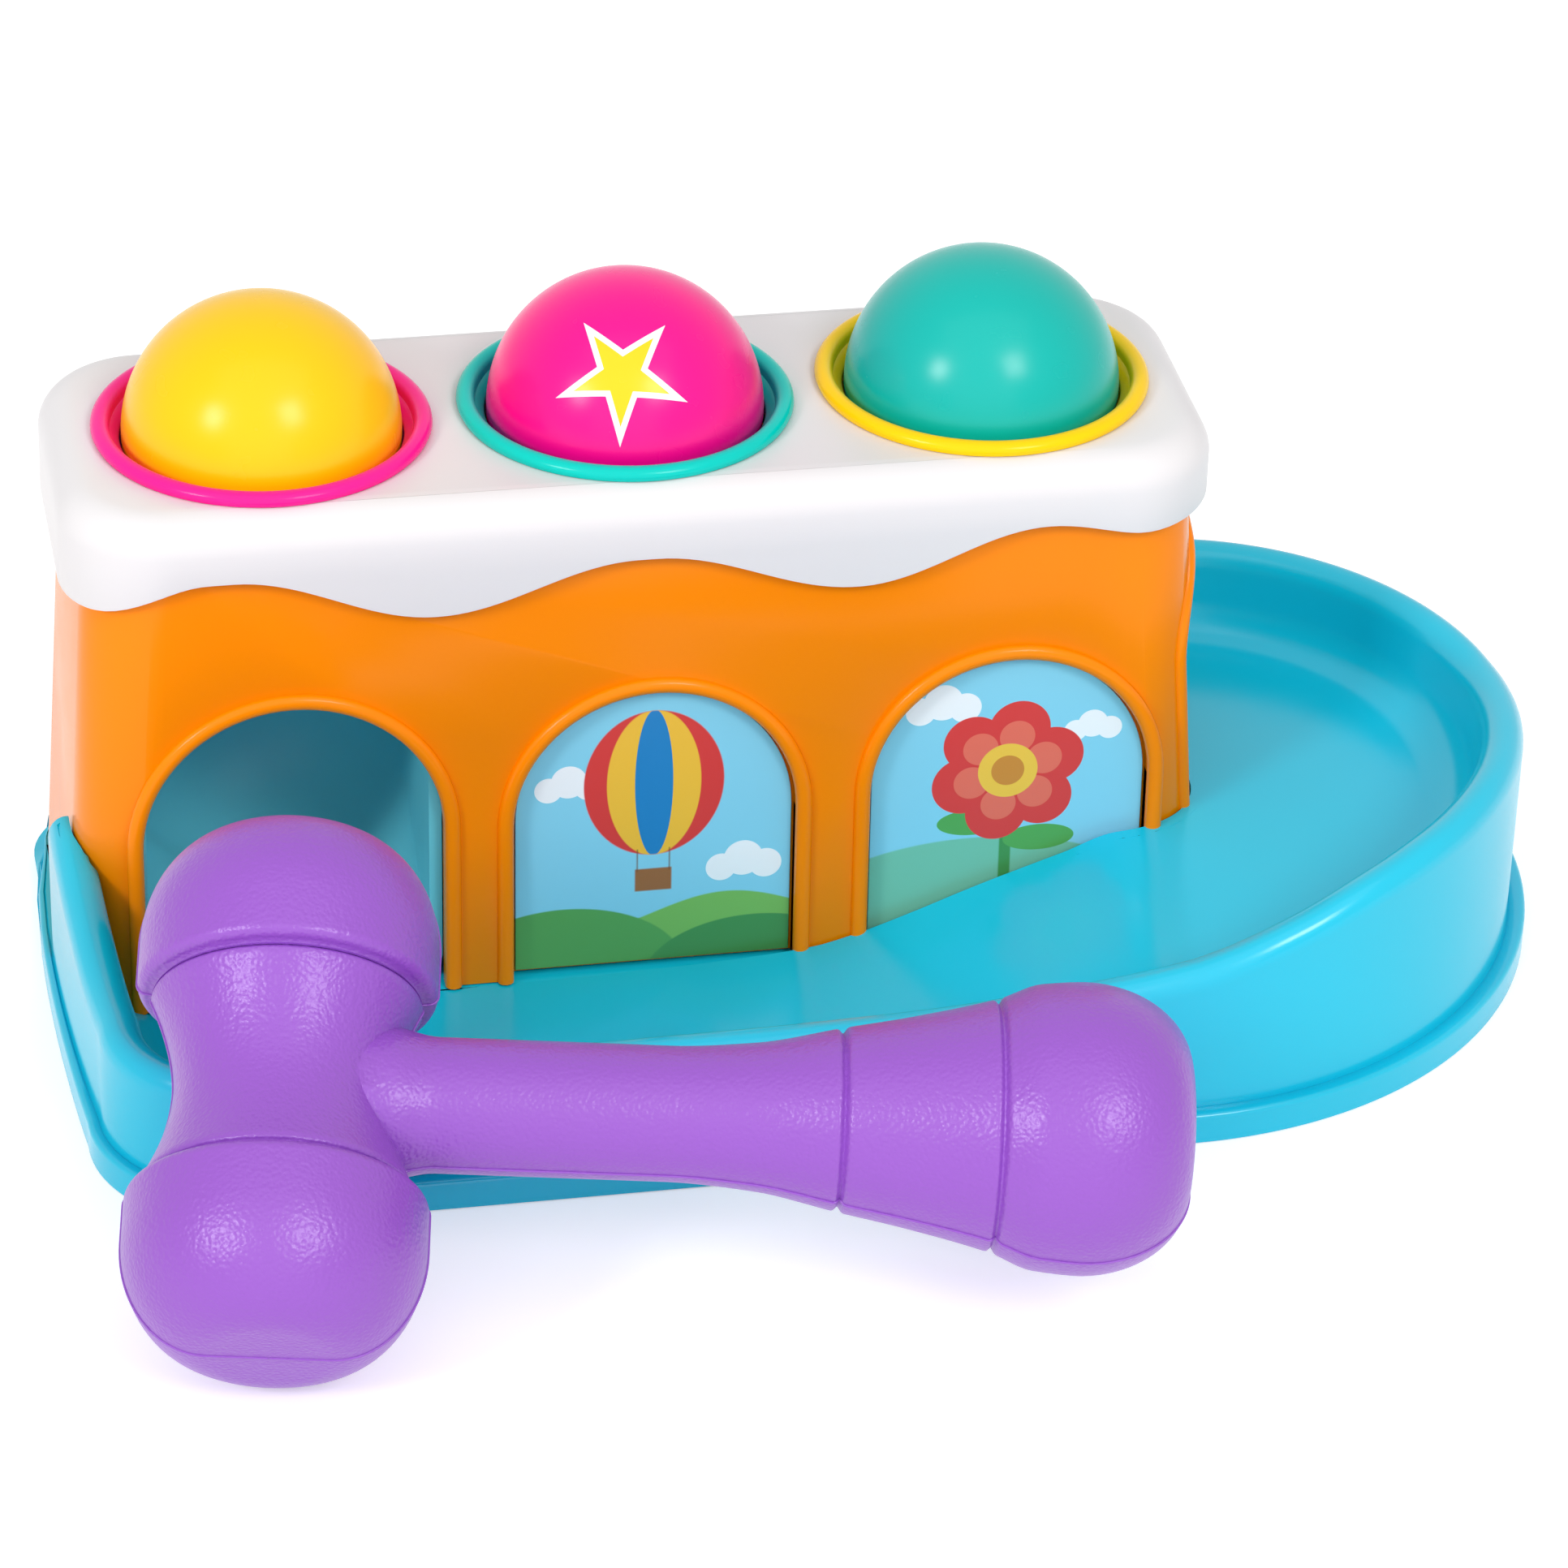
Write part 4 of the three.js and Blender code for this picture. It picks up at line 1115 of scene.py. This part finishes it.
def starred_pink():
    """Pink ball plastic printed with a star on its front."""
    finish = moulded("pink ball plastic", linear(255, 0, 139), BALL_ROUGH, gloss=BALL_GLOSS)
    tilt = (math.radians(-40), 0, math.radians(-11.8))
    across, depth, up = finish.axes(finish.place((0, 0, BALL_Z * MM), tilt))
    base = finish.shader.inputs["Base Color"].links[0].from_socket
    art = Drawing(finish, across / MM, up / MM, Socket(finish, base))
    front = depth < 0
    art.paint(front * art.star(0, 0, 11.8), linear(250, 240, 246))
    art.paint(front * art.star(0, 0, 8.6), linear(255, 208, 24))
    finish.set(Base_Color=art.colour)
    return finish


def steel_finish():
    """Zinc plating, a little uneven."""
    finish = Finish("zinc plated steel")
    fine = finish.noise(900.0, 3.0)
    finish.set(
        Base_Color=finish.blend(fine, linear(170, 172, 176), linear(205, 206, 208)),
        Metallic=1.0,
        Roughness=0.28 + 0.15 * fine,
    )
    return finish


# Stage: lamps have a place, an aim, a size and a power; the camera was found from the photograph
SKY = 0.58
FLOOR_GLOW = 0.36
FLOOR_Z = -0.0002
TOY_MIDDLE = (0, -0.05, 0.05)
LAMPS = (
    ("left_softbox", (-1.755, -1.28, 1.34), TOY_MIDDLE, (0.5, 0.56), 18.5),
    ("right_softbox", (0.76, -1.84, 1.62), TOY_MIDDLE, (0.66, 0.74), 17.0),
    ("front_softbox", (-0.4, -2.5, 0.8), TOY_MIDDLE, (2.6, 1.4), 7.0),
    ("high_softbox", (-0.1, -1.2, 2.1), (0, -0.05, 0.03), (3.2, 2.4), 13.0),
)
CAMERA_PLACE = (-0.17055, -0.96398, 0.62712)
CAMERA_TURN = (-11.76, 31.72, 1.79)
FOCAL_PIXELS, PHOTO_PIXELS = 7921.8, 1932


def seen_directly(finish):
    """One for camera, glossy and transmission rays, nought for light thrown on other things."""
    rays = finish.nodes.new("ShaderNodeLightPath")
    names = ("Is Camera Ray", "Is Glossy Ray", "Is Transmission Ray")
    camera, glossy, through = (Socket(finish, rays.outputs[name]) for name in names)
    return camera.most(glossy).most(through)


def make_stage():
    """Pale floor with a little light of its own where it is seen, so that only the shadow darkens it."""
    bpy.ops.mesh.primitive_plane_add(size=8, location=(0, 0, 0))
    floor = bpy.context.object
    floor.name = "floor"
    floor.data.transform(Matrix.Translation((0, 0, FLOOR_Z)))
    finish = Finish("pale floor")
    soft = finish.noise(3.0, 2.0)
    glow = (FLOOR_GLOW, FLOOR_GLOW, FLOOR_GLOW, 1)
    finish.set(
        Base_Color=finish.blend(soft, linear(246, 246, 246), linear(249, 249, 249)),
        Roughness=0.9,
        Specular_IOR_Level=0.1,
        Emission_Color=finish.blend(seen_directly(finish), (0, 0, 0, 1), glow),
        Emission_Strength=1.0,
    )
    floor.data.materials.append(finish.material)


def make_world():
    """Plain white surroundings, dimmer as a light than as seen."""
    world = bpy.data.worlds.new("studio")
    studio = Finish("studio", world)
    sky = studio.nodes["Background"]
    studio.feed(sky.inputs["Color"], (1, 1, 1, 1))
    studio.feed(sky.inputs["Strength"], SKY + (1 - SKY) * seen_directly(studio))
    bpy.context.scene.world = world


def add_lamp(name, place, aim, size, power):
    """A rectangular softbox turned to its aim."""
    data = bpy.data.lights.new(name, "AREA")
    data.shape = "RECTANGLE"
    data.size, data.size_y = size
    data.energy = power
    lamp = bpy.data.objects.new(name, data)
    lamp.location = place
    lamp.rotation_euler = (Vector(aim) - Vector(place)).to_track_quat("-Z", "Y").to_euler()
    bpy.context.scene.collection.objects.link(lamp)


def make_camera():
    """Camera at its place, turned by bearing, height and roll in degrees."""
    bearing, height, roll = (math.radians(angle) for angle in CAMERA_TURN)
    flat_right = Vector((math.cos(bearing), math.sin(bearing), 0))
    flat_back = Vector((math.sin(bearing), -math.cos(bearing), 0))
    back = math.cos(height) * flat_back + Vector((0, 0, math.sin(height)))
    flat_up = back.cross(flat_right)
    right = math.cos(roll) * flat_right + math.sin(roll) * flat_up
    up = -math.sin(roll) * flat_right + math.cos(roll) * flat_up
    data = bpy.data.cameras.new("camera")
    data.sensor_width = 36.0
    data.lens = FOCAL_PIXELS / PHOTO_PIXELS * data.sensor_width
    data.clip_start = 0.05
    camera = bpy.data.objects.new("camera", data)
    turn = Matrix((right, up, back)).transposed().to_4x4()
    camera.matrix_world = Matrix.Translation(CAMERA_PLACE) @ turn
    bpy.context.scene.collection.objects.link(camera)
    bpy.context.scene.camera = camera


make_camera()
make_stage()
make_world()
for lamp in LAMPS:
    add_lamp(*lamp)
bpy.context.scene.view_settings.view_transform = "Standard"

make_tray()
make_chute()
make_tower()
make_cap()
make_picture("middle", ARCHES[1], printed("balloon print", ARCHES[1]["x"], balloon_scene))
make_picture("right", ARCHES[2], printed("flower print", ARCHES[2]["x"], flower_scene))
for x, side, ring, ring_slot, ball, ball_slot in (
    (-PITCH, "left", PINK_RING, "collar_pink", YELLOW_BALL, "ball_yellow"),
    (0, "middle", TEAL_RING, "collar_teal", starred_pink(), "ball_pink"),
    (PITCH, "right", YELLOW_RING, "collar_yellow", TEAL_BALL, "ball_teal"),
):
    make_collar(x, side, ring, ring_slot)
    make_ball(x, side, ball, ball_slot)
make_hammer()
STEEL = steel_finish()
for name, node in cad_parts.items():
    if "_screw_" in name:
        node.data.materials.clear()
        node.data.materials.append(STEEL.material)
